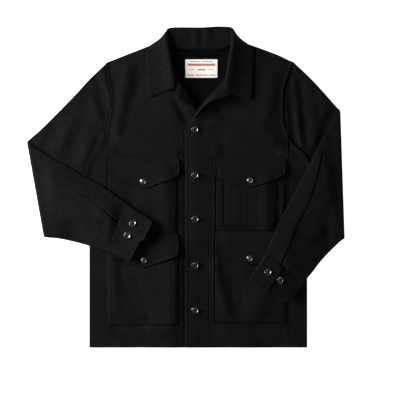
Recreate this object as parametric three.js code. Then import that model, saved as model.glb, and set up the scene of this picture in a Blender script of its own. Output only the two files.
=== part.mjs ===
// Mackinaw jacket of heavy plain wool, laid flat and face up, sleeves folded over the fronts.
// Millimetres, +Z up, +X towards the wearer's left side. The cut is drawn with x = 0 at the middle
// of the hem and y = 0 along the hem. The finished group is moved so that its origin is the
// middle of its base.
import * as THREE from 'three';

const { clamp, degToRad, lerp, smoothstep } = THREE.MathUtils;

// Cloth
const WOOL = 2.2; // wall of one layer
const COLLAR_WALL = 3.5; // two layers with interlining
const CUFF_WALL = 3.4; // two layers pressed together
const FLAP_WALL = 2.8;
const GAP = 0.3; // between pieces that touch
const END_CLEAR = 1.2; // extra, at the two ends of an armhole seam, where it turns over the fold
const LAY = 0.6; // between a panel and what is laid on it
const ARM_CLEAR = 1.5; // between a forearm and what it is folded over
const ARM_MARGIN = 6; // the upper arm counts as this much larger where a forearm lies on it

// Torso
const SIDE_FOLD = 2.75; // bend radius of the back where it turns round to the front
const BACK_Z = WOOL / 2; // middle of the cloth lying on the table
const FRONT_Z = BACK_Z + 2 * SIDE_FOLD; // middle of the cloth of the fronts
const WAIST_Y = 266; // side edges are straight up to here
const EDGE = { right: -283, left: 283 }; // side edges at the hem
// Lift of the left front over the right one, and dip of the right one: full and none give the
// lines across which each fades, and openFrom, openTo where the fronts part at the lapels
const OVERLAP = { height: 1.4, full: 24, none: 76, openFrom: 590, openTo: 640 };
const UNDERLAP = { depth: 1.6, full: -38, none: -72, openFrom: 600, openTo: 650 };
const SEAM_FOOT = { right: -237, left: 231.5 }; // side seams at the hem
const NECK_POINT = { right: -84, left: 93, y: 800 }; // inner ends of the shoulder lines
const SHOULDER_CLOSE = 34; // length over which a front comes down on the back at the shoulder
const NECK_X = 4.5; // middle of the neck
const LEAF_LIFT = COLLAR_WALL + 2 * GAP; // lift of the back where the collar leaf lies beneath it
const LIFT_FROM = 690.5; // the back starts to rise here
const LIFT_TO = 736.6; // and lies on the leaf from here
const LIFT_HALF = { full: 126, none: 200 }; // half widths of the lifted stretch
const ROLL_REACH = 110; // how far a raised neck edge lifts a front
const FRONT_COLUMNS = [0, 0.1, 0.22, 0.36, 0.5, 0.64, 0.76, 0.87, 0.94, 1]; // seam to inner edge
const BACK_LOW_ROWS = [0, 90, 180, WAIST_Y]; // heights of the back's rows up to the waist
const BACK_HIGH_ROWS = [0.27, 0.52, 0.7, 0.83, 0.92, 1]; // parts of the way from there to the top
const FOLD_ANGLES = [90, 45, 0, -45, -90]; // round a side fold, from the front to the back
const LAPEL_CURL = 2.6; // bend radius of a lapel at its roll line
const LAPEL_ANGLES = [-90, -135, 180, 135, 90]; // round it, from beneath to on top
const LAPEL_FLAT = [0.3, 0.65, 1]; // parts of the way from it to the outer edge
const LAPEL_CLEAR = 1.2; // between a lapel and the edge of the front that it curls over

// Sleeves
const TUBE = 2 * SIDE_FOLD; // between the middles of a flattened sleeve's two layers
const ELBOW_FOLD = 5; // bend radius of a sleeve's middle plane at its fold
const DRAPE_REACH = 26; // how far round it a forearm feels what lies beneath
const DRAPE_SOFT = 0.6; // part of that reach over which the result is smoothed
const ELBOW_ANGLES = [0, 40, 90, 140, 180];
const TUBE_ANGLES = [60, 120]; // points round each side of a flattened tube
const EASE_POWER = 1.6; // how soon a sleeve's sections leave the curve of the armhole
const HANG_END = 0.75; // part of a forearm by which it has come down from the fold

// Fastenings
const BUTTON = { radius: 9.3, height: 3.6, rim: 1.3, dish: 0.9 };
const SNAP = { radius: 8, height: 3.2 };

// Armholes from the shoulder tip down to the armpit. x, y is the seam of the front,
// backX, backY that of the back.
const ARMHOLE_RIGHT = [
  { x: -237, y: 740, backX: -237, backY: 740 },
  { x: -235, y: 711, backX: -238, backY: 711 },
  { x: -226, y: 673, backX: -238, backY: 680 },
  { x: -222, y: 635, backX: -241, backY: 650 },
  { x: -226, y: 605, backX: -244, backY: 618 },
  { x: -233, y: 573, backX: -248, backY: 585 },
  { x: -241, y: 536, backX: -256, backY: 545 },
  { x: -267, y: 503, backX: -269, backY: 505 },
  { x: -281, y: 469, backX: -281, backY: 469 },
  { x: -287, y: 439, backX: -287, backY: 439 },
  { x: -297, y: 409, backX: -297, backY: 409 },
];
const ARMHOLE_LEFT = [
  { x: 246, y: 741, backX: 246, backY: 741 },
  { x: 233, y: 712, backX: 245.5, backY: 712 },
  { x: 222, y: 680, backX: 246, backY: 684 },
  { x: 218, y: 645, backX: 248, backY: 655 },
  { x: 218, y: 607, backX: 251, backY: 622 },
  { x: 222, y: 573, backX: 255, backY: 590 },
  { x: 231.5, y: 546, backX: 260, backY: 560 },
  { x: 256, y: 519, backX: 270, backY: 525 },
  { x: 281, y: 497, backX: 281, backY: 497 },
  { x: 292, y: 468, backX: 292, backY: 468 },
  { x: 298.5, y: 422, backX: 298.5, backY: 422 },
];
const ARMHOLES = { right: ARMHOLE_RIGHT, left: ARMHOLE_LEFT };
const SEAM_TOP = 6; // row of an armhole where the side seam ends
const ARMPIT = 10;

// Inner edge of each front from the hem up to the shoulder, and its height above the flat front
const FRONT_EDGE_RIGHT = [
  { x: 20, y: 0, rise: 0 },
  { x: 20, y: 133, rise: 0 },
  { x: 20, y: WAIST_Y, rise: 0 },
  { x: 20, y: 401, rise: 0 },
  { x: 20, y: 540, rise: 0 },
  { x: 8, y: 592, rise: 1 },
  { x: -10, y: 622, rise: 6 },
  { x: -32, y: 654, rise: 8 },
  { x: -53, y: 687, rise: 8 },
  { x: -70, y: 735, rise: 5 },
  { x: -84, y: 800, rise: 1 },
];
const FRONT_EDGE_LEFT = [
  { x: -33, y: 0, rise: 0 },
  { x: -33, y: 133, rise: 0 },
  { x: -33, y: WAIST_Y, rise: 0 },
  { x: -33, y: 401, rise: 0 },
  { x: -33, y: 548, rise: 0 },
  { x: -24, y: 574, rise: 1 },
  { x: 3, y: 616, rise: 8 },
  { x: 35, y: 653, rise: 11 },
  { x: 68, y: 687, rise: 9 },
  { x: 79, y: 735, rise: 5 },
  { x: 93, y: 801, rise: 1 },
];
const FRONT_EDGES = { right: FRONT_EDGE_RIGHT, left: FRONT_EDGE_LEFT };
const SEAM_ROWS = 4; // of these rows, the ones below the top of the side seam

// Back: top edge between the shoulder tips, and the same columns at the hem
const BACK_TOP = [
  { x: -195.5, y: 756.3, hemX: -168 },
  { x: -121.5, y: 785.3, hemX: -118 },
  { x: -83, y: 800, hemX: -80 },
  { x: -71, y: 789, hemX: -68 },
  { x: -58, y: 779.5, hemX: -54 },
  { x: -20, y: 777.5, hemX: -20 },
  { x: 25, y: 777.5, hemX: 25 },
  { x: 67, y: 779.5, hemX: 63 },
  { x: 80, y: 789, hemX: 77 },
  { x: 92, y: 800, hemX: 89 },
  { x: 130.5, y: 785.5, hemX: 127 },
  { x: 204.5, y: 757, hemX: 170 },
];
const SHOULDER_HEM = 190; // half the spread at the hem of the columns that reach the shoulder tips

// Sleeves laid flat: the silhouette's upper edge and underarm edge at each section
const SLEEVE_RIGHT = {
  upper: [
    { edgeX: -278, edgeY: 700, underX: -312, underY: 396 },
    { edgeX: -318, edgeY: 657, underX: -336, underY: 368 },
    { edgeX: -370, edgeY: 604, underX: -364, underY: 333 },
    { edgeX: -412, edgeY: 563, underX: -388, underY: 303 },
  ],
  fold: { edgeX: -445, edgeY: 534, underX: -401, underY: 287 },
  forearm: [
    { edgeX: -405, edgeY: 507, underX: -386, underY: 285 },
    { edgeX: -374, edgeY: 488, underX: -370, underY: 284 },
    { edgeX: -333, edgeY: 466, underX: -328, underY: 276 },
    { edgeX: -289, edgeY: 439, underX: -282, underY: 264 },
    { edgeX: -240, edgeY: 412, underX: -255, underY: 257 },
    { edgeX: -187, edgeY: 375, underX: -231, underY: 250 },
  ],
  cuff: [
    { edgeX: -155, edgeY: 353, underX: -203, underY: 237 },
    { edgeX: -122, edgeY: 329, underX: -176, underY: 224 },
  ],
};
const SLEEVE_LEFT = {
  upper: [
    { edgeX: 292, edgeY: 697, underX: 309, underY: 407 },
    { edgeX: 325, edgeY: 662, underX: 326, underY: 380 },
    { edgeX: 350, edgeY: 634, underX: 348, underY: 341 },
  ],
  fold: { edgeX: 369, edgeY: 613, underX: 380, underY: 284 },
  forearm: [
    { edgeX: 337, edgeY: 566, underX: 367, underY: 275 },
    { edgeX: 314, edgeY: 524, underX: 358, underY: 266 },
    { edgeX: 283, edgeY: 464, underX: 340, underY: 248 },
    { edgeX: 253, edgeY: 409, underX: 317, underY: 223 },
    { edgeX: 224, edgeY: 352, underX: 296, underY: 196 },
    { edgeX: 195, edgeY: 293, underX: 280, underY: 177 },
    { edgeX: 173, edgeY: 242, underX: 270, underY: 164 },
  ],
  cuff: [
    { edgeX: 155, edgeY: 212, underX: 253, underY: 141 },
    { edgeX: 136, edgeY: 183, underX: 236, underY: 117 },
  ],
};
const SLEEVES = { right: SLEEVE_RIGHT, left: SLEEVE_LEFT };
const CUFF_LIFT = 2.5; // how far a cuff's mouth is raised
const CUFF_STEP = { at: 0.46, length: 7, depth: 1.4 }; // where its overlap ends
const CUFF_COLUMNS = [0, 0.15, 0.3, 0.448, 0.472, 0.65, 0.8, 1]; // across it, close at the step
const CUFF_ROWS = 3;

// Collar, from its right end round the back of the neck to the middle. seam is where its stand
// starts, crest the top of its roll, edge the leaf's outer edge. facing is the compass direction
// away from the neck, tilt turns the crest from outward to upward, bend is the angle of the roll.
const COLLAR = [
  { seamX: -57, seamY: 682, seamZ: 19.5, crestX: -62, crestY: 672, crestZ: 23.5,
    edgeX: -128, edgeY: 649, edgeZ: 13, facing: 200, tilt: 125, bend: 100, radius: 4 },
  { seamX: -62, seamY: 700, seamZ: 18.5, crestX: -63.5, crestY: 694, crestZ: 26,
    edgeX: -130, edgeY: 676, edgeZ: 13, facing: 190, tilt: 130, bend: 100, radius: 4.5 },
  { seamX: -67, seamY: 722, seamZ: 16, crestX: -68, crestY: 720, crestZ: 27,
    edgeX: -132, edgeY: 710, edgeZ: 13, facing: 185, tilt: 130, bend: 100, radius: 4.5 },
  { seamX: -74, seamY: 752, seamZ: 13, crestX: -73, crestY: 752, crestZ: 27,
    edgeX: -134, edgeY: 742, edgeZ: 13, facing: 182, tilt: 130, bend: 100, radius: 4.5 },
  { seamX: -79, seamY: 773, seamZ: 11.3, crestX: -78, crestY: 778, crestZ: 25.5,
    edgeX: -135, edgeY: 762, edgeZ: 13, facing: 178, tilt: 125, bend: 105, radius: 4.5 },
  { seamX: -81, seamY: 784, seamZ: 11.2, crestX: -81.5, crestY: 797, crestZ: 22,
    edgeX: -134, edgeY: 776, edgeZ: 12.8, facing: 170, tilt: 110, bend: 120, radius: 4.2 },
  { seamX: -79, seamY: 788, seamZ: 10.8, crestX: -82.5, crestY: 812, crestZ: 16.5,
    edgeX: -130, edgeY: 785, edgeZ: 11, facing: 152, tilt: 85, bend: 140, radius: 3.8 },
  { seamX: -75, seamY: 786, seamZ: 9.6, crestX: -81, crestY: 820, crestZ: 11.4,
    edgeX: -124, edgeY: 790.5, edgeZ: 6.8, facing: 130, tilt: 52, bend: 160, radius: 3.5 },
  { seamX: -72, seamY: 784, seamZ: 9.3, crestX: -79, crestY: 823.6, crestZ: 8.3,
    edgeX: -117.5, edgeY: 790.5, edgeZ: 2.3, facing: 115, tilt: 30, bend: 172, radius: 3.5 },
  { seamX: -68, seamY: 781.5, seamZ: 9, crestX: -75, crestY: 825.8, crestZ: 6.5,
    edgeX: -107, edgeY: 782, edgeZ: 1.95, facing: 105, tilt: 12, bend: 178, radius: 3.45 },
  { seamX: -60, seamY: 777.5, seamZ: 8.7, crestX: -66, crestY: 827, crestZ: 5.5,
    edgeX: -90, edgeY: 770, edgeZ: 1.95, facing: 94, tilt: 2, bend: 180, radius: 3.45 },
  { seamX: -40, seamY: 775.5, seamZ: 8.6, crestX: -42, crestY: 827.4, crestZ: 5.4,
    edgeX: -52, edgeY: 763, edgeZ: 1.95, facing: 90, tilt: 0, bend: 180, radius: 3.45 },
  { seamX: 4.5, seamY: 775, seamZ: 8.6, crestX: 4.5, crestY: 827, crestZ: 5.4,
    edgeX: 4.5, edgeY: 761, edgeZ: 1.95, facing: 90, tilt: 0, bend: 180, radius: 3.45 },
];
const COLLAR_ROWS = 36;
const COLLAR_STAND = [0, 0.35, 0.7]; // parts of the way from its seam to the roll
const COLLAR_ROLL = [0.5, 0.25, 0, -0.25, -0.5]; // parts of the roll's bend, from inside to outside
const COLLAR_LEAF = [0.12, 0.35, 0.6, 0.8, 1]; // parts of the way from the roll to its edge
const LEAF_DROP = { from: 760, over: 112, by: 11, raise: 6.5 }; // the left end lies lower, and higher up

// Lapels: the roll line's silhouette from the gorge down, and the outer edge beside it
const LAPEL_RIGHT = [
  { rollX: -50, rollY: 690, outerX: -61, outerY: 648, flare: 2 },
  { rollX: -40, rollY: 675, outerX: -52, outerY: 643, flare: 2 },
  { rollX: -28, rollY: 658, outerX: -38, outerY: 636, flare: 1.6 },
  { rollX: -17, rollY: 642, outerX: -23, outerY: 630, flare: 1 },
  { rollX: -10, rollY: 632, outerX: -14, outerY: 625.5, flare: 0.6 },
];
const LAPEL_LEFT = [
  { rollX: 65, rollY: 691, outerX: 70, outerY: 650, flare: 4 },
  { rollX: 47, rollY: 677, outerX: 52, outerY: 649, flare: 6 },
  { rollX: 31, rollY: 660, outerX: 34, outerY: 645, flare: 6 },
  { rollX: 17, rollY: 643, outerX: 17.5, outerY: 633, flare: 4 },
  { rollX: 6, rollY: 628, outerX: 6, outerY: 620, flare: 2 },
  { rollX: -4, rollY: 612, outerX: -3, outerY: 606, flare: 1 },
  { rollX: -12, rollY: 599, outerX: -10, outerY: 594, flare: 0.6 },
];

// Patch pockets: sides, top hidden by the flap, and bottom edge
const POCKETS = [
  { name: 'pocket_chest_right', left: -235, right: -57, top: 472, bottom: 298 },
  { name: 'pocket_chest_left', left: 47, right: 224.5, top: 472, bottom: 305 },
  { name: 'pocket_lower_right', left: -236, right: -54.5, top: 276, bottom: 59.5 },
  { name: 'pocket_lower_left', left: 45, right: 226, top: 280, bottom: 64.5 },
];
const PENCIL_POCKET = { name: 'pocket_pencil_left', left: 67.5, right: 200.5, top: 450, bottom: 316 };

// Flaps: ends, top seam, depth at the ends, depth and place of the point
const FLAPS = [
  { name: 'flap_chest_right', left: -233, right: -50, top: 492, side: 47, depth: 82, pointX: -143 },
  { name: 'flap_chest_left', left: 42, right: 225, top: 493, side: 47, depth: 80, pointX: 134 },
  { name: 'flap_lower_right', left: -234, right: -52, top: 295, side: 57, depth: 89, pointX: -141 },
  { name: 'flap_lower_left', left: 46, right: 226, top: 301, side: 60, depth: 90, pointX: 134 },
];
const FLAP_SWELL = 2.5; // how far a flap's ends bow out
const FLAP_CORNER = { from: 0.94, cut: 0.09 }; // its blunted lower corners, as parts of its width and depth
const FLAP_BELLY = 1.15; // bow of the lower edge between a corner and the point, 1 for straight
const FLAP_COLUMNS = [0, 0.03, 0.11, 0.25, 0.38, 0.46, 0.54, 0.64, 0.78, 0.89, 0.97, 1];
const FLAP_ROWS = 5;
const FLAP_EASE = { from: 8, to: 19 }; // where it comes down past the top edge of a pocket
const SNAP_UP = 21; // snap centre above a flap's point

// Soft folds of the cloth: a ridge or, with a negative height, a trough
const FRONT_FOLDS = [
  { fromX: -200, fromY: 690, toX: -178, toY: 610, width: 26, height: 1.2 },
  { fromX: 190, fromY: 690, toX: 172, toY: 610, width: 28, height: 1.4 },
  { fromX: -20, fromY: 80, toX: -30, toY: 520, width: 24, height: -0.6 },
  { fromX: 60, fromY: 560, toX: 120, toY: 640, width: 26, height: -0.9 },
  { fromX: -140, fromY: 30, toX: -120, toY: 200, width: 40, height: 0.8 },
  { fromX: 150, fromY: 20, toX: 120, toY: 190, width: 40, height: 0.9 },
];
const SLEEVE_FOLDS_RIGHT = [
  { fromX: -342, fromY: 570, toX: -352, toY: 487, width: 16, height: 2.2 },
  { fromX: -315, fromY: 600, toX: -336, toY: 515, width: 16, height: 1.8 },
  { fromX: -252, fromY: 650, toX: -248, toY: 585, width: 15, height: -1.6 },
];
const SLEEVE_FOLDS_LEFT = [
  { fromX: 243, fromY: 655, toX: 246, toY: 548, width: 15, height: -1.8 },
  { fromX: 258, fromY: 660, toX: 262, toY: 545, width: 13, height: 2.6 },
  { fromX: 275, fromY: 618, toX: 273, toY: 520, width: 14, height: 1.8 },
  { fromX: 320, fromY: 600, toX: 290, toY: 530, width: 18, height: 1.2 },
];

// Small pieces on the inside of the back
const TAPE = { left: -62, right: 71, top: 773, bottom: 766.5, wall: 1 };
const LOOP = { left: -36, right: 48, top: 764, bottom: 757, wall: 1.2, bow: 3 };
const LABEL = { left: -33.5, right: 50, top: 748, bottom: 700.5, wall: 0.7 };

// Buttons down the left front, and two on each cuff by place along and across its visible side
const FRONT_BUTTONS = { x: -8, ys: [566, 447, 334, 214, 97] };
const CUFF_BUTTONS = {
  right: [{ across: 0.25, along: 0.47 }, { across: 0.54, along: 0.46 }],
  left: [{ across: 0.23, along: 0.46 }, { across: 0.56, along: 0.43 }],
};

const COLOURS = {
  wool: 0x17181c,
  label: 0xf4eee0,
  tape: 0x131418,
  button: 0x1c1a1a,
  snap: 0x141416,
};

const jacket = new THREE.Group();

const point = (x, y, z = 0) => new THREE.Vector3(x, y, z);
const polar = (angle) => point(Math.cos(angle), Math.sin(angle));
const sum = (base, ...moves) => moves.reduce(
  (total, [way, far]) => total.addScaledVector(way, far),
  base.clone(),
);
const steps = (count) => Array.from({ length: count + 1 }, (_, i) => i / count);

function piece(name, geometry, colour, roughness = 0.95, metalness = 0) {
  const material = new THREE.MeshStandardMaterial({ color: colour, roughness, metalness });
  const mesh = new THREE.Mesh(geometry, material);
  mesh.name = name;
  jacket.add(mesh);
  return mesh;
}

// A closed wall round a grid of points in the middle of the cloth. A ring joins its last column
// to its first, as round a sleeve.
function wallOf(rows, wall, ring = false) {
  const lastRow = rows.length - 1;
  const columns = rows[0].length;
  const column = (j) => (ring ? (j + columns) % columns : clamp(j, 0, columns - 1));
  const at = (i, j) => rows[clamp(i, 0, lastRow)][column(j)];
  const outer = [];
  const inner = [];
  rows.forEach((row, i) => row.forEach((middle, j) => {
    const across = at(i, j + 1).clone().sub(at(i, j - 1));
    const along = at(i + 1, j).clone().sub(at(i - 1, j));
    const normal = across.cross(along).normalize();
    outer.push(sum(middle, [normal, wall / 2]));
    inner.push(sum(middle, [normal, -wall / 2]));
  }));
  const all = [...outer, ...inner];
  const index = [];
  const quad = (a, b, c, d) => {
    if (all[a].distanceTo(all[c]) <= all[b].distanceTo(all[d])) index.push(a, b, c, a, c, d);
    else index.push(a, b, d, b, c, d);
  };
  const out = (i, j) => i * columns + column(j);
  const back = (i, j) => outer.length + out(i, j);
  const quadColumns = ring ? columns : columns - 1;
  for (let j = 0; j < quadColumns; j++) {
    for (let i = 0; i < lastRow; i++) {
      quad(out(i, j), out(i, j + 1), out(i + 1, j + 1), out(i + 1, j));
      quad(back(i + 1, j), back(i + 1, j + 1), back(i, j + 1), back(i, j));
    }
    quad(out(0, j + 1), out(0, j), back(0, j), back(0, j + 1));
    quad(out(lastRow, j), out(lastRow, j + 1), back(lastRow, j + 1), back(lastRow, j));
  }
  if (!ring) {
    for (let i = 0; i < lastRow; i++) {
      const last = columns - 1;
      quad(out(i, 0), out(i + 1, 0), back(i + 1, 0), back(i, 0));
      quad(out(i + 1, last), out(i, last), back(i, last), back(i + 1, last));
    }
  }
  const geometry = new THREE.BufferGeometry().setFromPoints(all);
  geometry.setIndex(index);
  return geometry;
}

// Nearest place on a path: how far off it is, and how far along each leg
function nearest(path, x, y) {
  let best = { distance: Infinity, leg: 0, part: 0 };
  for (let leg = 0; leg < path.length - 1; leg++) {
    const a = path[leg];
    const b = path[leg + 1];
    const dx = b.x - a.x;
    const dy = b.y - a.y;
    const part = clamp(((x - a.x) * dx + (y - a.y) * dy) / (dx * dx + dy * dy), 0, 1);
    const distance = Math.hypot(x - a.x - part * dx, y - a.y - part * dy);
    if (distance < best.distance) best = { distance, leg, part };
  }
  return best;
}

// Height that a list of soft folds adds at a place
function foldsAt(folds, x, y) {
  return folds.reduce((height, fold) => {
    const ends = [{ x: fold.fromX, y: fold.fromY }, { x: fold.toX, y: fold.toY }];
    const off = nearest(ends, x, y).distance / fold.width;
    return height + fold.height * Math.exp(-off * off);
  }, 0);
}

// Lift of the back over the collar leaf that lies beneath its neck
function backLift(x, y) {
  const beyond = Math.abs(x - NECK_X) - LIFT_HALF.full;
  const across = 1 - clamp(beyond / (LIFT_HALF.none - LIFT_HALF.full), 0, 1);
  return LEAF_LIFT * across * clamp((y - LIFT_FROM) / (LIFT_TO - LIFT_FROM), 0, 1);
}

const backZ = (x, y) => BACK_Z + backLift(x, y);

// Shoulder line height at x, from the shoulder tips to the neck
function shoulderY(x) {
  const side = x < NECK_X ? 'right' : 'left';
  const [tip, neckX] = [ARMHOLES[side][0], NECK_POINT[side]];
  return lerp(tip.y, NECK_POINT.y, clamp((x - tip.x) / (neckX - tip.x), 0, 1));
}

// Middle of the cloth of a front: flat on the body, raised along the neck, closing on the back
// at the shoulder, and stepped where the left front lies on the right
function frontZ(side, x, y) {
  const edge = FRONT_EDGES[side];
  const near = nearest(edge, x, y);
  const rise = lerp(edge[near.leg].rise, edge[near.leg + 1].rise, near.part);
  const closed = (row) => 1 - smoothstep(y, row.openFrom, row.openTo);
  const lap = side === 'right'
    ? -UNDERLAP.depth * smoothstep(x, UNDERLAP.none, UNDERLAP.full) * closed(UNDERLAP)
    : OVERLAP.height * (1 - smoothstep(x, OVERLAP.full, OVERLAP.none)) * closed(OVERLAP);
  const flat = FRONT_Z + foldsAt(FRONT_FOLDS, x, y) + lap
    + rise * (1 - smoothstep(near.distance, 0, ROLL_REACH));
  const seam = backZ(x, y) + WOOL + GAP;
  const below = smoothstep(shoulderY(x) - y, 0, SHOULDER_CLOSE);
  return lerp(seam, Math.max(flat, seam), below);
}

// How far up a side seam a height lies, above the waist
const seamPart = (armhole, y) => clamp((y - WAIST_Y) / (armhole[SEAM_TOP].y - WAIST_Y), 0, 1);

// Fronts: a row of cloth from the side seam or armhole to the inner edge
function front(side) {
  const armhole = ARMHOLES[side];
  const inward = side === 'right' ? 1 : -1;
  const rows = FRONT_EDGES[side].map((end, i) => {
    const start = i < SEAM_ROWS
      ? { x: lerp(SEAM_FOOT[side], armhole[SEAM_TOP].x, seamPart(armhole, end.y)), y: end.y }
      : armhole[SEAM_TOP - (i - SEAM_ROWS)];
    return FRONT_COLUMNS.map((part) => {
      const x = lerp(start.x + inward * GAP, end.x, part);
      const y = lerp(start.y, end.y, part);
      return point(x, y, frontZ(side, x, y));
    });
  });
  const ordered = side === 'right' ? rows : rows.map((row) => row.reverse());
  piece(`front_${side}`, wallOf(ordered, WOOL), COLOURS.wool);
}

// One column of the back from the hem to its top: straight to the waist, then to the armhole
function backColumn(hemX, top, height) {
  const rows = BACK_LOW_ROWS.map((y) => ({ x: hemX, y }));
  for (const part of BACK_HIGH_ROWS) {
    rows.push({ x: lerp(hemX, top.x, part), y: lerp(WAIST_Y, top.y, part) });
  }
  return rows.map(({ x, y }) => point(x, y, height(x, y)));
}

// Half of the back, from the side seam on the front, round the side fold, to the shoulder tip
function backHalf(side) {
  const armhole = ARMHOLES[side];
  const inward = side === 'right' ? 1 : -1;
  const edge = EDGE[side];
  const pit = armhole[ARMPIT];
  const above = armhole[ARMPIT - 1];
  const columns = [];
  const flatEdge = edge + inward * (SIDE_FOLD + WOOL / 2);
  for (let k = SEAM_TOP; k < ARMPIT; k++) {
    const hemX = lerp(SEAM_FOOT[side] - inward * GAP, flatEdge, (k - SEAM_TOP) / (ARMPIT - SEAM_TOP));
    const gap = k === SEAM_TOP ? -inward * GAP : 0;
    const top = { x: armhole[k].x + gap, y: armhole[k].y };
    columns.push(backColumn(hemX, top, () => FRONT_Z));
  }
  for (const angle of FOLD_ANGLES.map(degToRad)) {
    const inset = inward * (SIDE_FOLD + WOOL / 2 - SIDE_FOLD * Math.cos(angle));
    const x = pit.x + inset;
    const y = lerp(above.y, pit.y, (x - above.x) / (pit.x - above.x));
    const z = BACK_Z + SIDE_FOLD * (1 + Math.sin(angle));
    columns.push(backColumn(edge + inset, { x, y }, () => z));
  }
  for (let k = ARMPIT - 1; k >= 0; k--) {
    const hemX = lerp(flatEdge, -inward * SHOULDER_HEM, (ARMPIT - k) / ARMPIT);
    columns.push(backColumn(hemX, { x: armhole[k].backX, y: armhole[k].backY }, backZ));
  }
  return columns;
}

function back() {
  const middle = BACK_TOP.map((top) => backColumn(top.hemX, top, backZ));
  const columns = [...backHalf('right'), ...middle, ...backHalf('left').reverse()];
  const rows = columns[0].map((_, i) => columns.map((column) => column[i]));
  piece('back', wallOf(rows, WOOL), COLOURS.wool);
}

// A patch laid on a front: a grid between its sides, moved out from the front's own surface
function patch(side, shape, above, wall, across = 6, along = 7) {
  const rows = steps(along).map((down) => steps(across).map((over) => {
    const { x, y } = shape(over, down);
    return point(x, y, frontZ(side, x, y) + above + wall / 2);
  }));
  return wallOf(rows, wall);
}

const POCKET_ABOVE = WOOL / 2 + LAY;
const PENCIL_ABOVE = POCKET_ABOVE + WOOL + LAY;

function pocket({ name, left, right, top, bottom }, above) {
  const shape = (over, up) => ({ x: lerp(left, right, over), y: lerp(bottom, top, up) });
  const side = left < 0 ? 'right' : 'left';
  piece(name, patch(side, shape, above, WOOL), COLOURS.wool);
}

// A flap's lower edge runs down from each end to a blunt point
function flapDrop({ left, right, side, depth, pointX }, over) {
  const x = lerp(left, right, over);
  const reach = x < pointX ? pointX - left : right - pointX;
  const away = Math.abs(x - pointX) / reach;
  const corner = 1 - FLAP_CORNER.cut * smoothstep(away, FLAP_CORNER.from, 1);
  return lerp(depth, side, Math.pow(away, FLAP_BELLY)) * corner;
}

// Height of a flap's underside above the middle of its front: over the pocket, then down past its top
function flapAbove(flap, x, y) {
  const { left, right, top } = PENCIL_POCKET;
  const { from, to } = FLAP_EASE;
  const past = (distance) => 1 - smoothstep(distance, from, to);
  const onPencil = flap.name === 'flap_chest_left' ? past(left - x) * past(x - right) * past(y - top) : 0;
  const pocketTop = POCKETS[FLAPS.indexOf(flap)].top;
  return WOOL / 2 + LAY + (past(y - pocketTop) + onPencil) * (WOOL + LAY);
}

function flapShape(flap, over, down) {
  const swell = FLAP_SWELL * Math.sin(Math.PI * Math.min(down, 0.8)) * (2 * over - 1);
  const y = flap.top - flapDrop(flap, over) * down;
  return { x: lerp(flap.left, flap.right, over) + swell, y };
}

function flap(row) {
  const side = row.left < 0 ? 'right' : 'left';
  const rows = steps(FLAP_ROWS).reverse().map((down) => FLAP_COLUMNS.map((part) => {
    const { x, y } = flapShape(row, part, down);
    return point(x, y, frontZ(side, x, y) + flapAbove(row, x, y) + FLAP_WALL / 2);
  }));
  piece(row.name, wallOf(rows, FLAP_WALL), COLOURS.wool);
}

// Top of whatever lies beneath a forearm: the table, the upper arm, a front, its pockets and flaps
function topAt(side, sleeve, x, y) {
  const pit = ARMHOLES[side][ARMPIT];
  const edge = Math.abs(lerp(EDGE[side], pit.x, smoothstep(y, WAIST_Y, pit.y)));
  let top = 0;
  if (Math.abs(x) < edge) top = frontZ(side, x, y) + WOOL / 2;
  const part = (x - pit.x) / (sleeve.fold.underX - pit.x);
  const onArm = Math.abs(x) > edge - ARM_MARGIN && y > lerp(pit.y, sleeve.fold.underY, part) - ARM_MARGIN;
  if (onArm) top = Math.max(top, FRONT_Z + WOOL / 2);
  const inside = (box, low) => x > box.left && x < box.right && y > low && y < box.top;
  for (const box of POCKETS) {
    if (inside(box, box.bottom)) top = frontZ(side, x, y) + POCKET_ABOVE + WOOL;
  }
  if (inside(PENCIL_POCKET, PENCIL_POCKET.bottom)) top = frontZ(side, x, y) + PENCIL_ABOVE + WOOL;
  for (const row of FLAPS) {
    const over = clamp((x - row.left) / (row.right - row.left), 0, 1);
    if (inside(row, row.top - flapDrop(row, over))) {
      top = Math.max(top, frontZ(side, x, y) + flapAbove(row, x, y) + FLAP_WALL);
    }
  }
  return top;
}

// A forearm hangs over what lies beneath: the highest top near it, smoothed
function drape(side, sleeve, x, y) {
  const ways = steps(8).slice(1).map((turn) => polar(turn * 2 * Math.PI));
  const highest = (cx, cy) => Math.max(topAt(side, sleeve, cx, cy),
    ...ways.map((way) => topAt(side, sleeve, cx + way.x * DRAPE_REACH, cy + way.y * DRAPE_REACH)));
  const soft = DRAPE_REACH * DRAPE_SOFT;
  const around = ways.map((way) => highest(x + way.x * soft, y + way.y * soft));
  return (highest(x, y) + around.reduce((total, height) => total + height)) / (ways.length + 1);
}

// Parts of the way along a sleeve's section at which its columns lie, as along the armhole
function armholeParts(armhole) {
  const run = [0];
  armhole.slice(1).forEach((end, k) => {
    run.push(run[k] + Math.hypot(end.x - armhole[k].x, end.y - armhole[k].y));
  });
  return run.map((length) => length / run[run.length - 1]);
}

// A flattened ring of a sleeve. front and rear give the middle of each layer at each part of the
// section, way is the section's direction, up the direction from the rear layer to the front one.
function flatRing(frontLayer, rearLayer, way, up) {
  const radius = TUBE / 2;
  const arcs = TUBE_ANGLES.map(degToRad);
  const turn = (end, sign, angle) => sum(end, [way, sign * radius * Math.sin(angle)],
    [up, radius * (Math.cos(angle) - 1)]);
  const last = frontLayer.length - 1;
  return [
    ...frontLayer,
    ...arcs.map((angle) => turn(frontLayer[last], 1, angle)),
    ...rearLayer.slice().reverse(),
    ...arcs.slice().reverse().map((angle) => turn(frontLayer[0], -1, angle)),
  ];
}

// Ends of a section's middle line, in from its silhouette by half the flattened tube
function sectionEnds(row, wall) {
  const edge = point(row.edgeX, row.edgeY);
  const under = point(row.underX, row.underY);
  const way = under.clone().sub(edge).normalize();
  const inset = TUBE / 2 + wall / 2;
  return { edge: sum(edge, [way, inset]), under: sum(under, [way, -inset]), way };
}

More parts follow.
